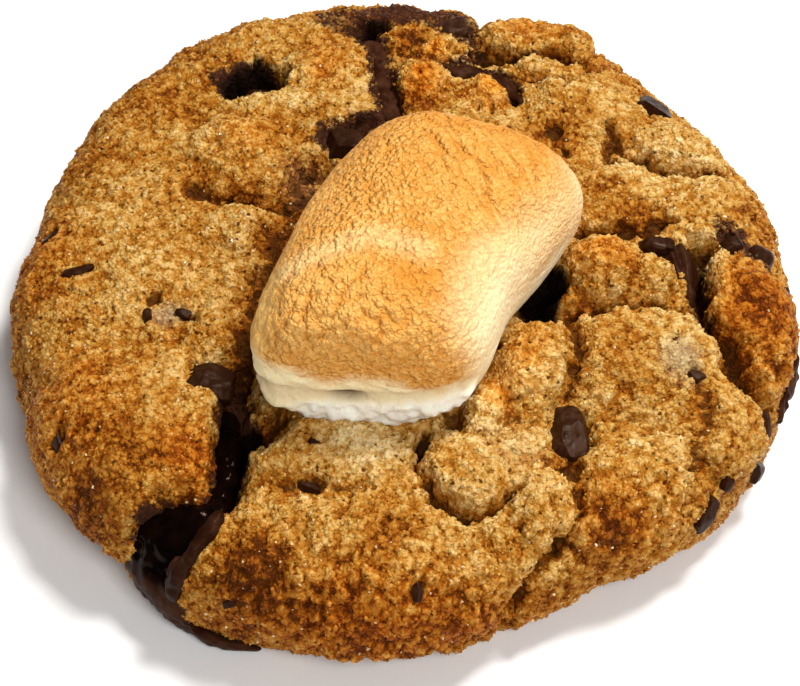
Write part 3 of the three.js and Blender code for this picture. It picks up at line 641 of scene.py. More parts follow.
def set_share(piece, name, values):
    """Keeps one number for each point of a piece, for its material to read."""
    layer = piece.data.attributes.new(name, "FLOAT", "POINT")
    whole = np.zeros(len(piece.data.vertices), np.float32)
    whole[:values.size] = values.ravel()
    layer.data.foreach_set("value", whole)


def add_node(tree, kind, inputs=None, **settings):
    """A shader node with its settings and unlinked input values."""
    made = tree.nodes.new(kind)
    for key, value in settings.items():
        setattr(made, key, value)
    for key, value in (inputs or {}).items():
        made.inputs[key].default_value = value
    return made


def mixed(tree, share, first, second, blend="MIX"):
    """A colour mix whose sockets take a link or a plain value."""
    mix = add_node(tree, "ShaderNodeMix", data_type="RGBA", blend_type=blend)
    for socket, value in ((mix.inputs[0], share), (mix.inputs[6], first), (mix.inputs[7], second)):
        if isinstance(value, bpy.types.NodeSocket):
            tree.links.new(value, socket)
        else:
            socket.default_value = value
    return mix.outputs[2]


def ranged(tree, value, low, high, to_low=0.0, to_high=1.0):
    """A value stretched from one range to another, and held inside it."""
    span = {"From Min": low, "From Max": high, "To Min": to_low, "To Max": to_high}
    stretch = add_node(tree, "ShaderNodeMapRange", span, clamp=True)
    tree.links.new(value, stretch.inputs["Value"])
    return stretch.outputs[0]


def attribute(tree, name):
    """The mesh's own values of that name."""
    return add_node(tree, "ShaderNodeAttribute", attribute_name=name).outputs["Fac"]


def noise_on(tree, place, scale, detail, roughness=0.5):
    """Soft random swells laid over a place."""
    values = {"Scale": scale, "Detail": detail, "Roughness": roughness}
    made = add_node(tree, "ShaderNodeTexNoise", values)
    tree.links.new(place, made.inputs["Vector"])
    return made


def cells_on(tree, place, scale, dimensions="3D"):
    """Scattered cells laid over a place, with the distance to each one's middle."""
    made = add_node(tree, "ShaderNodeTexVoronoi", {"Scale": scale}, voronoi_dimensions=dimensions)
    tree.links.new(place, made.inputs["Vector"])
    return made


def bent_place(tree, place, scale, reach):
    """A place that soft random swells move to and fro."""
    bend = noise_on(tree, place, scale, 2.0)
    moved = add_node(tree, "ShaderNodeVectorMath", {1: (reach,) * 3}, operation="MULTIPLY_ADD")
    tree.links.new(bend.outputs["Color"], moved.inputs[0])
    tree.links.new(place, moved.inputs[2])
    return moved.outputs[0]


def bumped(tree, shader, height, distance, strength=1.0):
    """Lets a height bump the shader's surface."""
    bump = add_node(tree, "ShaderNodeBump", {"Strength": strength, "Distance": distance})
    tree.links.new(height, bump.inputs["Height"])
    tree.links.new(bump.outputs[0], shader.inputs["Normal"])
    return bump


def times(tree, first, second):
    """The product of two linked values."""
    product = add_node(tree, "ShaderNodeMath", operation="MULTIPLY")
    tree.links.new(first, product.inputs[0])
    tree.links.new(second, product.inputs[1])
    return product.outputs[0]


def plus(tree, first, share, second):
    """first + share * second, for linked values."""
    add = add_node(tree, "ShaderNodeMath", {1: share}, operation="MULTIPLY_ADD")
    tree.links.new(second, add.inputs[0])
    tree.links.new(first, add.inputs[2])
    return add.outputs[0]


def crumb_group():
    """Sugary crumb from the place alone: packed grains, pinholes and patches."""
    group = bpy.data.node_groups.new("crumb", "ShaderNodeTree")
    group.interface.new_socket("Pinholes", in_out="INPUT", socket_type="NodeSocketFloat")
    for name in ("Height", "Grain", "GapShade", "PoreShade", "Patch", "PitShade"):
        group.interface.new_socket(name, in_out="OUTPUT", socket_type="NodeSocketFloat")
    link = group.links.new
    given = add_node(group, "NodeGroupInput")
    place = add_node(group, "ShaderNodeTexCoord")
    to_mm = add_node(group, "ShaderNodeVectorMath", {1: (1000,) * 3}, operation="MULTIPLY")
    link(place.outputs["Object"], to_mm.inputs[0])
    in_mm = to_mm.outputs[0]
    bent = bent_place(group, in_mm, 1.6, 0.7)
    grains = cells_on(group, bent, 2.1)
    lumps = cells_on(group, bent, 0.8)
    holes = cells_on(group, bent, 0.87)
    grain_gap = times(group, grains.outputs["Distance"], grains.outputs["Distance"])
    lump_gap = times(group, lumps.outputs["Distance"], lumps.outputs["Distance"])
    fine = noise_on(group, in_mm, 4.0, 3.0, 0.6)
    patch = noise_on(group, in_mm, 0.16, 3.0)
    sponge = noise_on(group, in_mm, 1.1, 3.0, 0.7)

    # Pinholes: only the given share of the holes' cells has one
    pick = add_node(group, "ShaderNodeSeparateColor")
    link(holes.outputs["Color"], pick.inputs[0])
    some = add_node(group, "ShaderNodeMath", operation="LESS_THAN")
    link(pick.outputs[0], some.inputs[0])
    link(given.outputs["Pinholes"], some.inputs[1])
    ragged = plus(group, holes.outputs["Distance"], 0.5, fine.outputs["Fac"])
    pores = times(group, ranged(group, ragged, 0.50, 0.36), some.outputs[0])

    gap = plus(group, plus(group, lump_gap, 0.5, grain_gap), 0.30, fine.outputs["Fac"])
    pit = ranged(group, sponge.outputs["Fac"], 0.43, 0.34)
    height = add_node(group, "ShaderNodeMath", {1: -1.0}, operation="MULTIPLY")
    link(gap, height.inputs[0])
    height = plus(group, plus(group, height.outputs[0], -0.5, pores), -0.6, pit)
    tone = add_node(group, "ShaderNodeSeparateColor")
    link(grains.outputs["Color"], tone.inputs[0])
    # Painted shade for the colour: the gap output lightens grain middles and darkens the gaps between them,
    # the pit and pore outputs darken pits and pinholes
    out = add_node(group, "NodeGroupOutput")
    for name, value in (
        ("Height", height), ("Grain", tone.outputs[0]), ("PoreShade", pores), ("PitShade", pit),
        ("GapShade", ranged(group, gap, 0.30, 0.80, -0.4, 0.6)), ("Patch", patch.outputs["Fac"]),
    ):
        link(value, out.inputs[name])
    return group


crumb = crumb_group()
PINHOLES = 0.45  # share of the places for a pinhole that have one
CRUST_TONES = [  # how brown, then the colour
    (0.00, (0.84, 0.61, 0.300, 1)),
    (0.20, (0.69, 0.435, 0.160, 1)),
    (0.42, (0.53, 0.282, 0.064, 1)),
    (0.62, (0.405, 0.158, 0.015, 1)),
    (0.82, (0.25, 0.064, 0.003, 1)),
    (1.00, (0.09, 0.020, 0.0015, 1)),
]
AMBER_TINT = (1.26, 0.86, 0.30, 1)
GREY_COLOUR = (0.36, 0.27, 0.16, 1)
# Painted shade in the pinholes
PORE_SHADE_COLOUR = (0.10, 0.028, 0.004, 1)
# Painted shade for the deepest crevices
CREVICE_SHADE_COLOUR = (0.08, 0.026, 0.004, 1)
SMEAR_COLOUR = (0.050, 0.0165, 0.0078, 1)
# Painted shade in the deep holes
HOLE_SHADE_COLOUR = (0.006, 0.002, 0.001, 1)


def tone_ramp(tree, value):
    """The crust's colour for how brown it is, warmer where the mesh says so."""
    ramp = add_node(tree, "ShaderNodeValToRGB")
    stops = ramp.color_ramp.elements
    stops[0].position, stops[0].color = CRUST_TONES[0]
    stops[1].position, stops[1].color = CRUST_TONES[-1]
    for position, colour in CRUST_TONES[1:-1]:
        stops.new(position).color = colour
    tree.links.new(value, ramp.inputs["Fac"])
    return mixed(tree, attribute(tree, "amber"), ramp.outputs["Color"], AMBER_TINT, "MULTIPLY")


def crust_material():
    """Baked crumb: browned at the rim, smeared here and there, painted darker as shade in crevices and
    holes.
    """
    material, tree, shader = new_material("baked_crust", {
        "Roughness": 0.6, "Specular IOR Level": 0.06, "Specular Tint": (1.0, 0.8, 0.6, 1),
        "Subsurface Weight": 0.4, "Subsurface Radius": (1.0, 0.42, 0.15), "Subsurface Scale": 0.0010,
    })
    grain = add_node(tree, "ShaderNodeGroup", {"Pinholes": PINHOLES}, node_tree=crumb)
    crevice_shade = attribute(tree, "crevice_shade")
    spread = ranged(tree, grain.outputs["Grain"], 0, 1, -1, 1)
    patch = ranged(tree, grain.outputs["Patch"], 0.3, 0.7, -1, 1)
    brown = plus(tree, attribute(tree, "brown"), 0.04, patch)
    # Painted shade: browner where the crumb lies in a crevice or dip
    brown = plus(tree, plus(tree, brown, 0.07, spread), 0.27, crevice_shade)
    # Painted shade: paler grain middles, browner in the gaps between grains and in pits
    brown = plus(tree, plus(tree, brown, 0.34, grain.outputs["GapShade"]), 0.22, grain.outputs["PitShade"])
    grey = mixed(tree, attribute(tree, "grey"), tone_ramp(tree, brown), GREY_COLOUR)
    # Painted shade: pinholes are coloured dark brown
    dark = mixed(tree, grain.outputs["PoreShade"], grey, PORE_SHADE_COLOUR)
    # Painted shade: the deepest crevices are mixed towards a near-black brown
    deep = mixed(tree, ranged(tree, crevice_shade, 0.4, 1.0, 0.0, 0.8), dark, CREVICE_SHADE_COLOUR)
    smear = plus(tree, attribute(tree, "smear"), 0.25, spread)
    smeared = mixed(tree, ranged(tree, smear, 0.35, 0.75), deep, SMEAR_COLOUR)
    # Painted shade: deep holes where hardly any light falls are coloured near black
    hollow = mixed(tree, attribute(tree, "hole"), smeared, HOLE_SHADE_COLOUR)
    tree.links.new(hollow, shader.inputs["Base Color"])
    bumped(tree, shader, grain.outputs["Height"], 0.00046)
    return material


crust_faces = [grid_squares(CRUST_CELLS), base_faces, fan_faces]
crust = mesh_object("cookie_crust", all_points * MM, crust_faces, crust_material())
whole_height = broad_height + fine_height
squares = CRUST_CELLS / 132  # squares for each millimetre
# Painted shade: how far each place lies below its blurred surroundings, which darkens the colour in crevices
# and dips
near_dip = (blurred(whole_height, 0.7 * squares) - whole_height) / 0.45
wide_dip = (blurred(whole_height, 3.0 * squares) - blurred(whole_height, 0.6 * squares)) / 2.4
crevice_shade = np.clip(0.6 * near_dip, -0.6, 0.7) + np.clip(wide_dip, -0.15, 1)
crevice_shade = np.clip(crevice_shade, -0.8, 1)
set_share(crust, "crevice_shade", crevice_shade)
# Painted shade: near black in the deep holes
set_share(crust, "hole", strongest(HOLE_SHADE_SPOTS, skin_east, skin_north, HOLE_EDGE))
for name, values in baked_shares(skin_east, skin_north):
    set_share(crust, name, values)
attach(crust, "root")
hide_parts("cookie")

# ------------------------------------------------------------------------------ crumb grains
# Grains of sugar and baked flour that stand out of the crust all over: pale, blocky and
# half sunk, about half a millimetre across, so that the crust looks granular.
GRAIN_PITCH = 0.78  # spacing of the grains
GRAIN_RADIUS = (0.22, 0.46)
GRAIN_MARGIN = 2.5  # bare rim next to the base
GRAIN_SINK = 0.42  # share of its radius by which a grain is sunk
BARE_HOLE = 0.2  # no grain lies where a hole is deeper than this
BARE_SMEAR = 0.92  # or smeared chocolate thicker
BARE_CHUNK = 0.42  # or on a chunk: half size of its bare middle, as a share of the chunk
BARE_CREVICE = 0.6  # or in a crevice
BODY_STRETCH = (0.75, 1.3)  # how much one grain is drawn out or pressed flat
BODY_DENT = 0.28  # how far its corners move in or out
STREWN_DRIFT = 0.3  # how far a place moves out of its pattern, as a share of the spacing
LOWEST = 0.05  # a grain stays this far above the table
SKIN_REACH = 70.0  # past the skin's furthest place
GRAIN_GREY = (0.44, 0.34, 0.20, 1)
GRAIN_SMEAR = (0.054, 0.0180, 0.0084, 1)


def disc_to_grid(east, north):
    """Where places of the flat-laid skin lie in the crust's grid of points."""
    bearing = np.arctan2(north, east)
    reach = np.hypot(east, north) / skin_reach(bearing)
    eighth = bearing / (math.pi / 4)
    sector = np.round(eighth / 2).astype(int) % 4
    part = eighth - 2 * np.round(eighth / 2)
    a = np.choose(sector, [reach, -reach * part, -reach, reach * part])
    b = np.choose(sector, [reach * part, reach, -reach * part, -reach])
    return (a + 1) / 2 * CRUST_CELLS, (b + 1) / 2 * CRUST_CELLS


def sampled(grid, column, line):
    """Values of a grid between its points."""
    c = np.clip(np.floor(column).astype(int), 0, CRUST_CELLS - 1)
    r = np.clip(np.floor(line).astype(int), 0, CRUST_CELLS - 1)
    fc, fr = column - c, line - r
    if grid.ndim == 3:
        fc, fr = fc[:, None], fr[:, None]
    low = grid[r, c] * (1 - fc) + grid[r, c + 1] * fc
    high = grid[r + 1, c] * (1 - fc) + grid[r + 1, c + 1] * fc
    return low * (1 - fr) + high * fr


def strewn_places(pitch, seed):
    """Places of the skin in a loose triangular pattern."""
    chance = np.random.default_rng(seed)
    east, north = np.meshgrid(
        np.arange(-SKIN_REACH, SKIN_REACH, pitch),
        np.arange(-SKIN_REACH, SKIN_REACH, pitch * math.sqrt(0.75)),
    )
    east[1::2] += pitch / 2
    drift = STREWN_DRIFT
    east = (east + chance.uniform(-drift, drift, east.shape) * pitch).ravel()
    north = (north + chance.uniform(-drift, drift, north.shape) * pitch).ravel()
    kept = np.hypot(east, north) < skin_reach(np.arctan2(north, east)) - GRAIN_MARGIN
    return east[kept], north[kept]


def random_turns(chance, count):
    """Rotation matrices spread evenly."""
    q = chance.normal(size=(count, 4))
    w, x, y, z = (q / np.linalg.norm(q, axis=1, keepdims=True)).T
    return np.stack([
        np.stack([1 - 2 * (y * y + z * z), 2 * (x * y - w * z), 2 * (x * z + w * y)], -1),
        np.stack([2 * (x * y + w * z), 1 - 2 * (x * x + z * z), 2 * (y * z - w * x)], -1),
        np.stack([2 * (x * z - w * y), 2 * (y * z + w * x), 1 - 2 * (x * x + y * y)], -1),
    ], 1)


def clear_of_chocolate(east, north, most_smear=BARE_SMEAR):
    """Which places no chunk, run of chocolate or deep hole takes up."""
    clear = strongest(HOLE_SHADE_SPOTS, east, north, HOLE_EDGE) < BARE_HOLE
    clear &= smear_share(east, north) < most_smear
    for _, mid_east, mid_north, (width, depth, _), turn, _, _, _ in CHUNKS:
        spot = (mid_east, mid_north, width * BARE_CHUNK, depth * BARE_CHUNK, turn)
        clear &= share_out(east, north, spot) > 1
    return clear


def strewn_mesh(name, shape, faces, places, radii, sink, seed, material):
    """Many small solid bodies of one shape as one mesh, each turned its own way."""
    chance = np.random.default_rng(seed)
    column, line = disc_to_grid(*places)
    surface = sampled(crust_points, column, line)
    out = sampled(grid_normals(crust_points), column, line)
    count = len(surface)
    body = shape[None] * chance.uniform(*BODY_STRETCH, (count, 1, 3))
    body = body * (1 + chance.uniform(-BODY_DENT, BODY_DENT, (count, len(shape), 1)))
    body = np.einsum("nij,nkj->nki", random_turns(chance, count), body) * radii[:, None, None]
    body += (surface - out * (radii * sink)[:, None])[:, None]
    body[..., 2] = np.maximum(body[..., 2], LOWEST)
    many_faces = (faces[None] + (np.arange(count) * len(shape))[:, None, None]).reshape(-1, 3)
    piece = mesh_object(name, body.reshape(-1, 3) * MM, [many_faces], material)
    own_shares = (
        ("tone", chance.uniform(0, 1, count)), ("crevice_shade", sampled(crevice_shade, column, line)),
    )
    for key, values in own_shares + baked_shares(*places):
        set_share(piece, key, np.repeat(values, len(shape)))
    return piece


OCTAHEDRON = np.array([(1, 0, 0), (0, 1, 0), (-1, 0, 0), (0, -1, 0), (0, 0, 1), (0, 0, -1)], float)
OCTAHEDRON_FACES = np.array([
    (0, 1, 4), (1, 2, 4), (2, 3, 4), (3, 0, 4), (1, 0, 5), (2, 1, 5), (3, 2, 5), (0, 3, 5),
])


def grain_material():
    """The crust's crumb once more, a little shinier, with a tone for each grain."""
    material, tree, shader = new_material("crumb_grain", {
        "Roughness": 0.38, "Specular IOR Level": 0.14, "Specular Tint": (1.0, 0.85, 0.7, 1),
        "Subsurface Weight": 0.5, "Subsurface Radius": (1.0, 0.48, 0.18), "Subsurface Scale": 0.0007,
    })
    grain = add_node(tree, "ShaderNodeGroup", {"Pinholes": PINHOLES}, node_tree=crumb)
    tone = ranged(tree, attribute(tree, "tone"), 0, 1, -1.0, 0.7)
    brown = plus(tree, attribute(tree, "brown"), 0.11, tone)
    # Painted shade: the grain is browner in crevices
    brown = plus(tree, brown, 0.28, attribute(tree, "crevice_shade"))
    # Painted shade: paler grain middles, browner between grains and in pits
    brown = plus(tree, plus(tree, brown, 0.22, grain.outputs["GapShade"]), 0.24, grain.outputs["PitShade"])
    grey = mixed(tree, attribute(tree, "grey"), tone_ramp(tree, brown), GRAIN_GREY)
    # Painted shade: pinholes are coloured dark brown
    dark = mixed(tree, grain.outputs["PoreShade"], grey, PORE_SHADE_COLOUR)
    smear = plus(tree, attribute(tree, "smear"), 0.22, tone)
    smeared = mixed(tree, ranged(tree, smear, 0.3, 0.95), dark, GRAIN_SMEAR)
    tree.links.new(smeared, shader.inputs["Base Color"])
    return material


grain_east, grain_north = strewn_places(GRAIN_PITCH, 3)
kept = clear_of_chocolate(grain_east, grain_north)
kept &= sampled(crevice_shade, *disc_to_grid(grain_east, grain_north)) < BARE_CREVICE
grain_east, grain_north = grain_east[kept], grain_north[kept]
grain_radii = np.random.default_rng(5).uniform(*GRAIN_RADIUS, len(grain_east))
grain_look = grain_material()
grains = strewn_mesh(
    "crumb_grains", OCTAHEDRON, OCTAHEDRON_FACES, (grain_east, grain_north), grain_radii,
    GRAIN_SINK, 7, grain_look,
)
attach(grains, "root")

# ------------------------------------------------------------------------------ crumb knobs
# Bigger rounded bits of crumb that baked firm on the craggy front and along the right rim.
KNOB_PITCH = 1.05
KNOB_RADIUS = (0.24, 0.46)
KNOB_SINK = 0.5
KNOB_SHARE = (0.04, 0.3)  # share of the places that carry a knob: anywhere, and more on crags
KNOB_EDGE = 0.5
KNOB_SMEAR = 0.4  # no knob where smeared chocolate is thicker
GOLDEN = (1 + math.sqrt(5)) / 2


def ball_of_twenty():
    """The points of a twenty-sided ball, and its faces seen from outside."""
    points = np.array([
        (-1, GOLDEN, 0), (1, GOLDEN, 0), (-1, -GOLDEN, 0), (1, -GOLDEN, 0),
        (0, -1, GOLDEN), (0, 1, GOLDEN), (0, -1, -GOLDEN), (0, 1, -GOLDEN),
        (GOLDEN, 0, -1), (GOLDEN, 0, 1), (-GOLDEN, 0, -1), (-GOLDEN, 0, 1),
    ])
    faces = []
    for a, b, c in itertools.combinations(range(12), 3):
        sides = [np.linalg.norm(points[p] - points[q]) for p, q in ((a, b), (b, c), (c, a))]
        if max(sides) < 2.1:
            outward = np.cross(points[b] - points[a], points[c] - points[a]) @ points[a] > 0
            faces.append((a, b, c) if outward else (a, c, b))
    return points / np.linalg.norm(points[0]), np.array(faces)


knob_east, knob_north = strewn_places(KNOB_PITCH, 21)
kept = clear_of_chocolate(knob_east, knob_north, KNOB_SMEAR)
here = KNOB_SHARE[0] + KNOB_SHARE[1] * strongest(CRAGS, knob_east, knob_north, KNOB_EDGE)
kept &= np.random.default_rng(22).uniform(0, 1, len(knob_east)) < here
knob_east, knob_north = knob_east[kept], knob_north[kept]
knobs = strewn_mesh(
    "crumb_knobs", *ball_of_twenty(), (knob_east, knob_north),
    np.random.default_rng(23).uniform(*KNOB_RADIUS, len(knob_east)), KNOB_SINK, 24, grain_look,
)
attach(knobs, "root")

# ------------------------------------------------------------------------------ sugar crystals
# Single sugar crystals on the crust: clear, blocky and bright where they catch the light.
SUGAR_PITCH = 2.3
SUGAR_RADIUS = (0.10, 0.22)
SUGAR_SHARE = 0.4  # share of the places that carry a crystal
SUGAR_SINK = 0.3
SUGAR_SMEAR = 0.3  # no crystal where smeared chocolate is thicker
SUGAR_COLOUR = (0.74, 0.50, 0.26, 1)
BLOCK = np.array(list(itertools.product((-0.7, 0.7), repeat=3)))
BLOCK_FACES = np.array([
    (0, 1, 3), (0, 3, 2), (4, 6, 7), (4, 7, 5), (0, 4, 5), (0, 5, 1),
    (2, 3, 7), (2, 7, 6), (0, 2, 6), (0, 6, 4), (1, 5, 7), (1, 7, 3),
])

sugar_look, _, _ = new_material("sugar", {
    "Base Color": SUGAR_COLOUR, "Roughness": 0.15, "Specular IOR Level": 0.4,
    "Subsurface Weight": 0.4, "Subsurface Radius": (1.0, 0.8, 0.6), "Subsurface Scale": 0.0006,
})
sugar_east, sugar_north = strewn_places(SUGAR_PITCH, 31)
kept = clear_of_chocolate(sugar_east, sugar_north, SUGAR_SMEAR)
kept &= np.random.default_rng(32).uniform(0, 1, len(sugar_east)) < SUGAR_SHARE
sugar_east, sugar_north = sugar_east[kept], sugar_north[kept]
sugar = strewn_mesh(
    "sugar_crystals", BLOCK, BLOCK_FACES, (sugar_east, sugar_north),
    np.random.default_rng(33).uniform(*SUGAR_RADIUS, len(sugar_east)), SUGAR_SINK, 34, sugar_look,
)
sugar.data.polygons.foreach_set("use_smooth", np.zeros(len(sugar.data.polygons), bool))
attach(sugar, "root")

# ------------------------------------------------------------------------------ chocolate chunks
# Firm pieces of dark chocolate baked into the dough: broken blocks and small chips with
# chipped corners, some with a dull bloom. They lie half sunk where the dough cracked.
CHUNK_SQUARENESS = 4.2  # how square a chunk is before its corners break
CHUNK_BREAKS = 12  # flat breaks on each chunk
BREAK_OUT = (0.62, 0.92)  # how far out a break lies, as a share of the way to the corner
CHUNK_SINK = 0.22  # share of its height by which the crumb has risen round a chunk
CHUNK_BLOOM = {"chunk_right_low_a": 0.6, "chunk_front_face": 0.5, "chip_pale_mass_a": 0.8,
               "chip_pale_mass_b": 0.8, "chunk_back_edge": 0.7, "chip_grey_a": 0.6}


def cube_sphere(cells):
    """Directions spread evenly over a ball, and the squares between them, as one skin."""
    line = np.linspace(-1, 1, cells + 1)
    a, b = [grid.ravel() for grid in np.meshgrid(line, line)]
    one = np.ones(a.shape)
    sides = [(one, a, b), (-one, b, a), (b, one, a), (a, -one, b), (a, b, one), (b, a, -one)]
    points = np.concatenate([np.stack(part, -1) for part in sides])
    faces = np.concatenate([grid_squares(cells) + k * len(one) for k in range(6)])
    keys = np.round(points * 1e5).astype(np.int64)
    _, first, back_to = np.unique(keys, axis=0, return_index=True, return_inverse=True)
    return np.tan(points[first] * math.pi / 4), back_to.ravel()[faces]


def chunk_form(size, seed, cells):
    """A block with soft corners that flat breaks cut off here and there."""
    chance = np.random.default_rng(seed)
    points, faces = cube_sphere(cells)
    reach = (np.abs(points) ** CHUNK_SQUARENESS).sum(1, keepdims=True)
    points = points / reach ** (1 / CHUNK_SQUARENESS)
    for _ in range(CHUNK_BREAKS):
        out = chance.normal(size=3)
        out /= np.linalg.norm(out)
        reach = points @ out
        over = np.maximum(reach - reach.max() * chance.uniform(*BREAK_OUT), 0)
        points = points - over[:, None] * out
    points = points * np.array(size) / 2
    rough = 0.05 * waves(1.3, seed, *points.T) + 0.03 * waves(0.5, seed + 1, *points.T)
    return points * (1 + rough[:, None]), faces


def skin_axes(east, north):
    """Axes of the smooth skin at a place: east and north along it, and out of it."""
    step = 0.5
    steps = np.array([(step, 0), (-step, 0), (0, step), (0, -step)])
    around = skin_point(east + steps[:, 0], north + steps[:, 1])
    eastward = Vector(around[0] - around[1]).normalized()
    out = eastward.cross(Vector(around[2] - around[3])).normalized()
    return Matrix((eastward, out.cross(eastward), out)).transposed().to_4x4()


CHOCOLATE = (0.021, 0.0058, 0.0018, 1)
BLOOMED = (0.060, 0.025, 0.011, 1)


def chocolate_material():
    """Dark chocolate with a dull, cloudy bloom here and there."""
    material, tree, shader = new_material("dark_chocolate", {
        "Specular IOR Level": 0.10, "Specular Tint": (0.9, 0.7, 0.55, 1), "Subsurface Weight": 0.05,
        "Subsurface Radius": (1.0, 0.4, 0.2), "Subsurface Scale": 0.0008,
    })
    place = add_node(tree, "ShaderNodeTexCoord")
    cloud = noise_on(tree, place.outputs["Object"], 900.0, 4.0, 0.65).outputs["Fac"]
    bloom = plus(tree, ranged(tree, cloud, 0.35, 0.75, -0.4, 0.6), 0.5, attribute(tree, "bloom"))
    tree.links.new(mixed(tree, bloom, CHOCOLATE, BLOOMED), shader.inputs["Base Color"])
    tree.links.new(ranged(tree, bloom, 0, 0.6, 0.32, 0.6), shader.inputs["Roughness"])
    bumped(tree, shader, cloud, 0.0002, 0.5)
    return material


chocolate_look = chocolate_material()
for index, (name, east, north, size, turn, lean_east, lean_north, over) in enumerate(CHUNKS):
    squares = 22 if max(size) > 4 else 12
    points, faces = chunk_form(size, 100 + 3 * index, squares)
    chunk = mesh_object("dressed_" + name, points * MM, [faces], chocolate_look)
    matrix = skin_axes(east, north)
    matrix = matrix @ Matrix.Rotation(math.radians(lean_east), 4, "Y")
    matrix = matrix @ Matrix.Rotation(-math.radians(lean_north), 4, "X")
    matrix = matrix @ Matrix.Rotation(math.radians(turn), 4, "Z")
    sunk = over - CHUNK_SINK * size[2]
    middle = skin_point(np.array([east]), np.array([north]), sunk)[0]
    matrix.translation = Vector(middle) * MM
    chunk.data.transform(matrix)
    set_share(chunk, "bloom", np.full(len(points), CHUNK_BLOOM.get(name, 0.0)))
    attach(chunk, "root")
    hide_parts(name)

# ------------------------------------------------------------------------------ melted chocolate
# Chocolate that melted in the oven and ran: down the split and over the edge at the left,
# along cracks at the back, and in short drips at the right. It set smooth and glossy.
# Stops: east, north, half width, thickness, height of the middle over the smooth skin.
MELT_FLOOR = 0.3  # melted chocolate stays this far above the table
MELT_SIDES = 20
MELT_STEPS = 9  # rings between two stops
MELT_VOXEL = 0.24  # size of the squares after runs are joined
MELT_SATIN = {"melt_back_streak": 1.0, "melt_back_vein": 0.9, "melt_right_drip": 0.7, "melt_right_edge": 1.0}
MELT_ROUGH = {"melt_split": 0.20, "melt_back_streak": 0.55, "melt_back_vein": 0.50,
              "melt_right_drip": 0.10, "melt_right_edge": 0.40}
MELTS = {
    "melt_split": [
        [(-21.6, -21.4, 1.6, 2.4, -2.6), (-21.2, -26, 1.9, 3.0, -3.4), (-21.4, -31, 1.6, 3.0, -3.9),
         (-22.8, -35.2, 2.2, 3.0, -3.8), (-26.8, -38, 5.0, 3.4, -3.6), (-31.0, -40.8, 5.6, 3.2, -2.4),
         (-34.0, -44.2, 6.2, 3.0, -0.9), (-34.8, -48.6, 5.8, 2.6, -0.3), (-33.8, -53.0, 4.8, 2.4, 0.1),
         (-31.0, -57.6, 2.6, 2.0, 0.2)],
        [(-34.2, -53.0, 1.6, 1.8, 0.2), (-29.6, -54.6, 2.2, 1.8, 0.6), (-26.0, -56.4, 1.8, 1.6, 0.7),
         (-23.4, -57.6, 1.2, 1.2, 0.6), (-21.6, -58.2, 0.7, 0.8, 0.5)],
        [(-21.2, -37.0, 0.7, 1.6, 0.3), (-22.8, -39.6, 1.1, 2.0, 0.4), (-25.0, -41.8, 0.9, 2.2, 0.3),
         (-27.8, -44.6, 1.2, 1.9, 0.3), (-29.6, -47.4, 0.7, 1.4, 0.1)],
    ],
    "melt_back_streak": [
        [(-4.2, 40.0, 1.0, 1.2, -1.3), (-4.0, 38.6, 1.5, 1.4, -1.1), (-3.0, 36.2, 1.1, 1.2, -1.3),
         (-3.0, 33.4, 1.6, 1.4, -1.1), (-2.2, 30.2, 1.1, 1.2, -1.3), (-1.9, 27.2, 1.4, 1.4, -1.2),
         (-1.1, 24.4, 0.9, 1.1, -1.5), (-0.8, 22.6, 0.7, 1.0, -1.6)],
        [(-6.4, 21.4, 0.8, 1.0, -1.6), (-4.8, 22.6, 1.0, 1.1, -1.3), (-2.8, 23.6, 0.9, 1.0, -1.3)],
    ],
    "melt_back_vein": [
        [(5.6, 33.6, 0.8, 1.2, -0.6), (9, 32.7, 1.0, 1.6, -0.7), (12.6, 31.4, 1.1, 1.6, -0.6),
         (14.4, 28.6, 0.9, 1.4, -0.3), (15.4, 26.6, 0.6, 1.0, 0.2)],
    ],
    "melt_right_drip": [
        [(32.2, 3.4, 1.6, 1.0, -0.3), (33.7, 1.2, 2.5, 1.1, -0.4), (34.6, -1.4, 2.4, 1.1, -0.8),
         (35.2, -4.0, 1.5, 1.1, -1.4)],
        [(31.2, 2.8, 0.7, 1.4, 0.5), (32.0, 0.8, 0.7, 1.4, 0.4), (32.9, -1.4, 0.6, 1.2, 0.0),
         (33.3, -2.8, 0.4, 1.0, -0.6)],
        [(33.0, 3.8, 0.7, 1.5, 0.6), (33.6, 1.0, 0.6, 1.5, 0.5), (34.3, -1.8, 0.6, 1.4, 0.0),
         (34.8, -4.6, 0.4, 1.2, -0.9)],
        [(34.7, 3.2, 0.6, 1.4, 0.4), (35.3, 0.4, 0.7, 1.4, 0.3), (35.6, -2.6, 0.6, 1.4, -0.3),
         (35.7, -5.8, 0.4, 1.2, -1.5)],
    ],
    "melt_right_edge": [
        [(50.4, -3.6, 0.8, 1.4, 0.0), (51.4, -7.0, 1.3, 1.6, 0.1), (51.8, -11.5, 1.5, 1.6, 0.1),
         (51.0, -16.0, 1.3, 1.5, 0.0), (50.0, -19.5, 0.8, 1.2, 0.0)],
    ],
}


def smooth_line(stops, t):
    """Values of a smooth curve through stops, for t from 0 to the last stop's number."""
    padded = np.concatenate([2 * stops[:1] - stops[1:2], stops, 2 * stops[-1:] - stops[-2:-1]])
    first = np.clip(np.floor(t).astype(int), 0, len(stops) - 2)
    return curve_through((t - first)[:, None], *[padded[first + k] for k in range(4)])


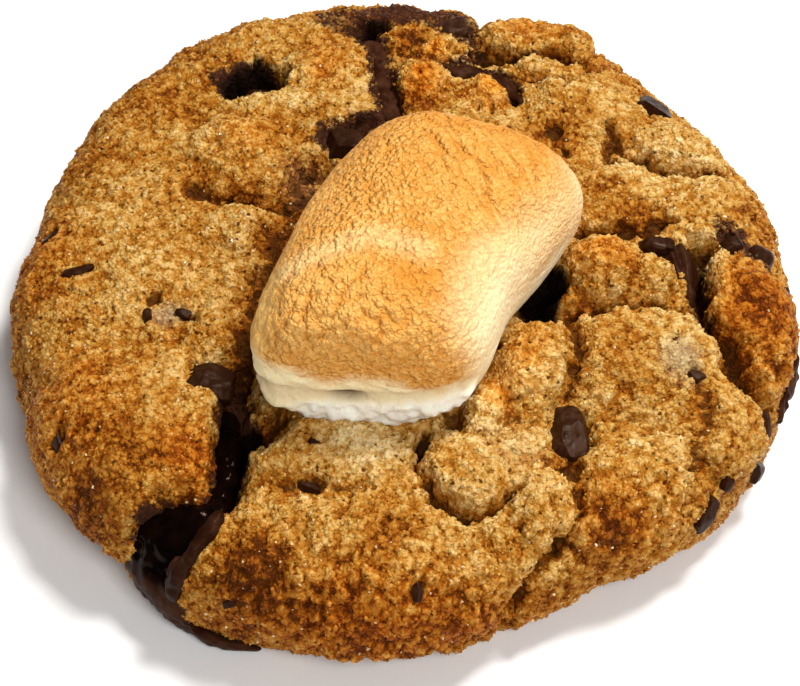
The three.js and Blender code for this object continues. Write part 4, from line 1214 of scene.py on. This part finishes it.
def run_mesh(stops):
    """Points and faces of one run, round in section and closed to a point at both ends."""
    count = (len(stops) - 1) * MELT_STEPS
    t = np.linspace(0, len(stops) - 1, count + 1)
    middle = smooth_line(np.array(stops), t)
    run = np.gradient(middle[:, :2], axis=0)
    run /= np.linalg.norm(run, axis=1, keepdims=True)
    from_end = np.minimum(t, len(stops) - 1 - t) / 0.6
    taper = np.sqrt(1 - (1 - np.clip(from_end, 0.004, 1)) ** 2)
    turn = np.arange(MELT_SIDES) * 2 * math.pi / MELT_SIDES
    across = (middle[:, 2] * taper)[:, None] * np.cos(turn)
    lift = middle[:, 4:5] + (middle[:, 3] * taper / 2)[:, None] * np.sin(turn)
    east = middle[:, 0:1] + run[:, 1:2] * across
    north = middle[:, 1:2] - run[:, 0:1] * across
    points = skin_point(east, north, lift).reshape(-1, 3)
    start = (np.arange(count)[:, None] * MELT_SIDES).ravel()
    faces = []
    for k in range(MELT_SIDES):
        after = (k + 1) % MELT_SIDES
        ring = [start + k, start + MELT_SIDES + k, start + MELT_SIDES + after, start + after]
        faces.append(np.stack(ring, -1))
    first_end = np.arange(MELT_SIDES)[None]
    last_end = (count * MELT_SIDES + np.arange(MELT_SIDES))[::-1][None]
    return points, [np.concatenate(faces), first_end, last_end]


DARK_MELT = [(0.0012, 0.0005, 0.0004, 1), (0.006, 0.0018, 0.0008, 1)]
DULL_MELT = [(0.024, 0.0060, 0.0019, 1), (0.056, 0.020, 0.009, 1)]


def melt_material():
    """Melted chocolate: nearly black and glossy where thick, browner and dull in thin smears."""
    material, tree, shader = new_material("melted_chocolate", {
        "Specular IOR Level": 0.06, "Specular Tint": (0.85, 0.52, 0.38, 1),
    })
    place = add_node(tree, "ShaderNodeTexCoord")
    cloud = noise_on(tree, place.outputs["Object"], 380.0, 3.0).outputs["Fac"]
    cloudy = ranged(tree, cloud, 0.4, 0.7)
    satin = attribute(tree, "satin")
    colour = mixed(tree, satin, mixed(tree, cloudy, *DARK_MELT), mixed(tree, cloudy, *DULL_MELT))
    tree.links.new(ranged(tree, satin, 0, 1, 0.12, 0.50), shader.inputs["Roughness"])
    tree.links.new(colour, shader.inputs["Base Color"])
    bumped(tree, shader, cloud, 0.0004, 0.35)
    return material


def remeshed(piece, width, rounds):
    """Joins the closed bodies of a mesh under one skin, evened out a number of times."""
    join = piece.modifiers.new("join", "REMESH")
    join.mode = "VOXEL"
    join.voxel_size = width
    join.use_smooth_shade = True
    even = piece.modifiers.new("even", "SMOOTH")
    even.iterations = rounds
    even.factor = 0.6
    whole = bpy.data.meshes.new_from_object(piece.evaluated_get(bpy.context.evaluated_depsgraph_get()))
    piece.modifiers.clear()
    piece.data = whole


def beside_run(points, stops, reach):
    """How close points lie to the middle line of a run, from 0 to 1."""
    line = smooth_line(np.array(stops), np.linspace(0, len(stops) - 1, 40))
    path = skin_point(line[:, 0], line[:, 1], line[:, 4])
    away = np.linalg.norm(points[:, None] - path[None], axis=-1).min(1)
    return ease(2 - away / reach)


melt_look = melt_material()
for name, runs in MELTS.items():
    points, face_sets, count = [], [], 0
    for stops in runs:
        run_points, run_faces = run_mesh(stops)
        points.append(run_points)
        face_sets += [faces + count for faces in run_faces]
        count += len(run_points)
    melt = mesh_object("dressed_" + name, np.concatenate(points) * MM, face_sets, melt_look)
    remeshed(melt, MELT_VOXEL * MM, 2 if name == "melt_right_drip" else 6)
    co = np.empty(len(melt.data.vertices) * 3, np.float32)
    out = np.empty_like(co)
    melt.data.vertices.foreach_get("co", co)
    melt.data.vertices.foreach_get("normal", out)
    co, out = co.reshape(-1, 3) / MM, out.reshape(-1, 3)
    ripple = 0.30 * waves(2.4, 81, *co.T) + MELT_ROUGH[name] * waves(0.9, 82, *co.T)
    co = co + out * ripple[:, None]
    co[:, 2] = np.maximum(co[:, 2], MELT_FLOOR)
    melt.data.vertices.foreach_set("co", (co * MM).astype(np.float32).ravel())
    melt.data.update()
    if name == "melt_split":
        dull = np.maximum(0.9 * ease((9.5 - co[:, 2]) / 2.5), 0.6 * beside_run(co, runs[-1], 1.3))
    else:
        dull = np.full(len(co), MELT_SATIN[name])
    set_share(melt, "satin", dull)
    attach(melt, "root")
    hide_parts(name)

# ------------------------------------------------------------------------------ marshmallow
# A regular marshmallow laid on its side on the hot cookie: the top toasted to a leathery
# gold skin, the flanks still cream, and the near end melted into a ragged white foot.
MALLOW_HALF = (14.0, 19.0, 12.0)  # half width, half length, half height in millimetres
MALLOW_PLACE = (0.47, -8.82, 27.5)
MALLOW_TURN = 20.7  # its axis, clockwise from +Y in degrees
MALLOW_ROUND = 2.3  # roundness of the section: 2 is an ellipse
MALLOW_END = 4.2  # flatness of the ends: higher is flatter
MALLOW_LEFT = (-0.10, -0.10, -0.05)  # how its left side swells along its length
MALLOW_RIGHT = (0.17, 0.29, 0.01)
MALLOW_SKEW = (0.30, 0.09)  # how far the near and the far end turn from square
MALLOW_CELLS = 126
PAD_WIDTH = 0.8  # of the skin's pads, as a share of their spacing


def mallow_form(directions):
    """Points of the smooth pillow in its own frame: across, along, up."""
    unit = directions / np.linalg.norm(directions, axis=1, keepdims=True)
    half_width, half_length, half_height = MALLOW_HALF
    x = np.abs(unit[:, 0] / half_width) ** MALLOW_ROUND
    z = np.abs(unit[:, 2] / half_height) ** MALLOW_ROUND
    section = (x + z) ** (MALLOW_END / MALLOW_ROUND)
    size = (section + np.abs(unit[:, 1] / half_length) ** MALLOW_END) ** (-1 / MALLOW_END)
    points = unit * size[:, None]
    along = points[:, 1] / half_length
    left, right = [
        1 + swell[0] * along + swell[1] * along**2 + swell[2] * along**3
        for swell in (MALLOW_LEFT, MALLOW_RIGHT)
    ]
    points[:, 0] *= np.where(points[:, 0] > 0, right, left)
    near, far = MALLOW_SKEW
    points[:, 1] += points[:, 0] * (near * np.clip(-along, 0, 1) + far * np.clip(along, 0, 1))
    return points


def point_normals(points, faces):
    """Unit normals at the points of a closed mesh of squares."""
    a, b, c, d = [points[faces[:, k]] for k in range(4)]
    flat = np.cross(c - a, d - b)
    out = np.stack([
        sum(np.bincount(faces[:, k], flat[:, axis], len(points)) for k in range(4)) for axis in range(3)
    ], -1)
    return out / np.linalg.norm(out, axis=1, keepdims=True)


def skin_pads(seed, *axes):
    """Rounded pads, one for each unit: 0 in the crease between them, 1 on top."""
    nearest, _, _ = pebbles(1.0, seed, *axes)
    return 1 - np.clip(nearest / PAD_WIDTH, 0, 1) ** 2


mallow_directions, mallow_faces = cube_sphere(MALLOW_CELLS)
smooth_points = mallow_form(mallow_directions)
mallow_out = point_normals(smooth_points, mallow_faces)
x, y, z = smooth_points.T
turned = math.radians(MALLOW_TURN)
facing_right = mallow_out[:, 0] * math.cos(turned) + mallow_out[:, 1] * math.sin(turned)
facing_front = mallow_out[:, 0] * math.sin(turned) - mallow_out[:, 1] * math.cos(turned)
facing_up = mallow_out[:, 2]
ragged = 0.5 * waves(2.4, 91, x, y, z) + 0.35 * waves(1.1, 92, x, y, z)

# The near end: a fold under the toasted skin, and below it a lip that spreads on the crust
near_end = ease((-0.12 - mallow_out[:, 1]) / 0.45)
fold_height = -3.2 + 0.13 * np.maximum(x, 0)
under_fold = z - fold_height + 0.35 * ragged
fold = near_end * np.exp(-(under_fold / 1.0) ** 2)
lip = near_end * ease((-0.3 - under_fold) / 1.3) * ease((under_fold + 7.5) / 2.5)
hollow = near_end * np.exp(-((x + 0.7) / 1.7) ** 2 - ((z + 3.2) / 0.6) ** 2)

# Where the skin is toasted: the top and left side, with a soft edge on the right flank and a
# crooked one over the near end's fold
right_edge = 0.70 + 0.016 * np.clip(y + 2, 0, 14)
toast = ease((right_edge - facing_right + 0.10 * ragged) / 0.90 + 0.5)
toast = np.maximum(toast, 0.50 * ease((y - 2) / 9))
toast_end = 0.3 + 1.5 * ease((-3 - x) / 5) - 1.5 * ease((x - 4) / 5)
lower_edge = near_end * toast_end - (1 - near_end) * 2.0
edge_waves = 1.3 * ragged + 0.5 * waves(0.8, 104, x, y, 1.6 * z)
toast = toast * ease((z - lower_edge + edge_waves) / 3.0 + 0.5)

pale_band = ease(1 - distance_to_line(x, y, [(-10, -12.5), (-5.5, -8.6), (-2, -6), (4, -6)]) / 3.0)
toast = toast * (1 - 0.22 * pale_band * ease(facing_up * 3))

# The toasted skin: fine pads all over, plates at the near end, and drawn wrinkles
arc_radius = np.sqrt((x + 1.8) ** 2 + (y + 19.5) ** 2 + (z + 0.3) ** 2)
arc_angle = np.arctan2(z + 0.3, x + 1.8)
arcs_here = ease((arc_radius - 5.5) / 3) * ease((17 - arc_radius) / 3) * ease((8 - x) / 5)
arcs = skin_pads(93, arc_radius / 1.1 + 0.3 * ragged, arc_angle * 11 / 2.4)
streaks_here = ease((x + 0.6 * y - 1) / 6) * ease((y + 3) / 5) * ease(facing_up * 3)
across_streaks, along_streaks = 0.59 * x + 0.81 * y, 0.81 * x - 0.59 * y
streaks = skin_pads(94, across_streaks / 1.05 + 0.5 * ragged, along_streaks / 3.4)
broad_here = ease((facing_front - 0.35) / 0.3) * ease((7 - x) / 5)
broad = skin_pads(96, x / 2.3, y / 2.3, z / 2.3)
plates_here = ease((x + 1) / 4) * ease((-2 - y) / 5)
plates = skin_pads(95, x / 1.1, y / 1.1, z / 1.1)
fine = skin_pads(99, x / 0.68, y / 0.68, z / 0.68)
relief = 0.08 * (fine - 0.6) * (1 - 0.6 * broad_here)
relief += 0.22 * plates_here * (plates - 0.6) + 0.16 * broad_here * (broad - 0.6)
relief += 0.32 * arcs_here * (arcs - 0.6) + 0.36 * streaks_here * (streaks - 0.6)
relief *= 0.12 + 0.88 * toast
relief += 0.35 * waves(7.0, 97, x, y, z) + 0.18 * waves(3.0, 98, x, y, z)
relief -= 0.30 * near_end * ease((lower_edge + 1 - z) / 3.5) * ease((under_fold + 0.6) / 0.8)
relief += 0.36 * near_end * (1 - toast) * waves(0.9, 101, z + 0.12 * x, 0.3 * x, 0.3 * y)
relief += 0.13 * near_end * waves(0.7, 102, x, y, z)
relief += lip * (0.45 + 0.9 * ragged + 0.35 * waves(0.9, 103, x, y, z)) - 0.6 * fold - 2.0 * hollow
mallow_points = smooth_points + mallow_out * relief[:, None]
mallow_matrix = Matrix.Translation(Vector(MALLOW_PLACE) * MM)
mallow_matrix = mallow_matrix @ Matrix.Rotation(-turned, 4, "Z")


def pads(tree, vector, scale, dimensions="3D"):
    """Rounded pads that meet in creases: their height, and how deep in a crease a place is."""
    away = cells_on(tree, vector, scale, dimensions).outputs["Distance"]
    return ranged(tree, times(tree, away, away), 0.60, 0), ranged(tree, away, 0.36, 0.84)


def laid_out(tree, first, second):
    """A flat place for a pattern, from two of the mesh's own values."""
    joined = add_node(tree, "ShaderNodeCombineXYZ")
    tree.links.new(attribute(tree, first), joined.inputs[0])
    tree.links.new(attribute(tree, second), joined.inputs[1])
    return joined.outputs[0]


def mallow_skin_group():
    """The toasted skin's wrinkles, from the mesh's own values: height, painted crease shade and grain."""
    group = bpy.data.node_groups.new("mallow_skin", "ShaderNodeTree")
    for name in ("Height", "CreaseShade", "Cloud", "Fine"):
        group.interface.new_socket(name, in_out="OUTPUT", socket_type="NodeSocketFloat")
    place = add_node(group, "ShaderNodeTexCoord").outputs["Object"]
    cloud = noise_on(group, place, 260.0, 5.0, 0.6)
    fine = noise_on(group, place, 1800.0, 3.0, 0.6)
    bent = bent_place(group, place, 700.0, 0.0008)
    small, thin_lines = pads(group, bent, 2100.0)
    wider, lines = pads(group, bent, 1250.0)
    fine_here = attribute(group, "fine_here")
    height = plus(group, times(group, wider, fine_here), 0.7, small)
    crease = times(group, plus(group, lines, 0.7, thin_lines), fine_here)
    for kind, tall in (("arc", 1.3), ("run", 1.4)):
        pad, line = pads(group, laid_out(group, kind + "_u", kind + "_v"), 1.0, "2D")
        here = attribute(group, kind + "_here")
        height = plus(group, height, tall, times(group, pad, here))
        crease = plus(group, crease, 0.9, times(group, line, here))
    height = plus(group, height, 0.4, fine.outputs["Fac"])
    out = add_node(group, "NodeGroupOutput")
    for name, value in (
        ("Height", height), ("CreaseShade", crease),
        ("Cloud", cloud.outputs["Fac"]), ("Fine", fine.outputs["Fac"]),
    ):
        group.links.new(value, out.inputs[name])
    return group


GOLD = (0.88, 0.54, 0.160, 1)
DEEP_GOLD = (0.71, 0.288, 0.042, 1)
# Painted shade in the creases
CREASE_SHADE_BROWN = (0.66, 0.245, 0.026, 1)
CREAM = (0.96, 0.80, 0.48, 1)
LIP_WHITE = (1.0, 0.97, 0.82, 1)
# Painted shade in the near end's fold and hollow
HOLLOW_SHADE_BROWN = (0.22, 0.14, 0.07, 1)


def mallow_material():
    """Toasted gold with creases and the near end's fold painted darker as shade, cream where the fire didn't
    reach.
    """
    material, tree, shader = new_material("toasted_marshmallow", {
        "Roughness": 0.6, "Specular IOR Level": 0.12,
        "Subsurface Radius": (1.0, 0.75, 0.5), "Subsurface Scale": 0.0014,
    })
    skin = add_node(tree, "ShaderNodeGroup", node_tree=mallow_skin_group())
    toasted = attribute(tree, "toast")
    tree.links.new(ranged(tree, toasted, 0, 1, 0.6, 0.1), shader.inputs["Subsurface Weight"])
    deeper = attribute(tree, "scorch")
    for name, share in (("Cloud", 0.22), ("Fine", 0.25)):
        deeper = plus(tree, deeper, share, ranged(tree, skin.outputs[name], 0.3, 0.7, -1, 1))
    # Painted shade: creases are mixed towards a darker brown
    crease = plus(tree, skin.outputs["CreaseShade"], 0.5, attribute(tree, "crease"))
    gold = mixed(tree, deeper, GOLD, DEEP_GOLD)
    crease_shaded_gold = mixed(tree, ranged(tree, crease, 0, 1, 0, 0.75), gold, CREASE_SHADE_BROWN)
    white = mixed(tree, attribute(tree, "lip"), CREAM, LIP_WHITE)
    # Painted shade: the near end's fold and the hollow under it are coloured dark brown
    cream = mixed(tree, attribute(tree, "hollow"), white, HOLLOW_SHADE_BROWN)
    tree.links.new(mixed(tree, toasted, cream, crease_shaded_gold), shader.inputs["Base Color"])
    bump = bumped(tree, shader, skin.outputs["Height"], 0.00036)
    tree.links.new(attribute(tree, "rough"), bump.inputs["Strength"])
    return material


marshmallow = mesh_object("marshmallow_skin", mallow_points * MM, [mallow_faces], mallow_material())
marshmallow.data.transform(mallow_matrix)
set_share(marshmallow, "toast", toast)
# Painted shade: how deep in a crease each place lies, which darkens the skin's colour there
crease = 0.3 * plates_here * (1 - plates) + 0.4 * broad_here * (1 - broad)
crease += 0.6 * arcs_here * (1 - arcs) + 0.6 * streaks_here * (1 - streaks)
# Painted light: the left side, turned away from the key panel, is kept smooth and made paler
smooth_left_painted_lighter = ease((-0.50 - facing_right) / 0.35)  # smooth and paler
for name, values in (
    ("crease", crease * (1 - smooth_left_painted_lighter)),
    ("arc_u", arc_radius + 0.25 * ragged),
    ("arc_v", arc_angle * 11 / 1.3),
    ("arc_here", arcs_here * (1 - smooth_left_painted_lighter)),
    ("run_u", across_streaks + 0.35 * ragged),
    ("run_v", along_streaks / 2.6),
    ("run_here", streaks_here * ease((0.85 - facing_right) / 0.4)),
    ("fine_here", np.clip(1 - 0.75 * arcs_here - 0.6 * streaks_here - 0.3 * broad_here, 0, 1)),
    ("rough", (0.30 + 0.65 * toast) * (1 - 0.7 * smooth_left_painted_lighter)),
):
    set_share(marshmallow, name, values)
# Painted light: the left side and the near end are scorched less, so paler, as both turn away from the key
# panel
scorch = 0.50 + 0.55 * ease(1 - np.hypot((x - 4) / 6, (y + 9.5) / 5.5))
scorch = scorch - 0.34 * pale_band - 0.30 * smooth_left_painted_lighter
scorch += 0.26 * ease((y - 12) / 5) + 0.12 * ease((y - 2) / 5) - 0.04 * near_end
set_share(marshmallow, "scorch", scorch)
set_share(marshmallow, "lip", lip * ease((x + 9) / 5))
# Painted shade in the fold and hollow at the near end
set_share(marshmallow, "hollow", np.clip(hollow * 1.2 + 0.3 * fold, 0, 1))
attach(marshmallow, "root")
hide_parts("marshmallow")
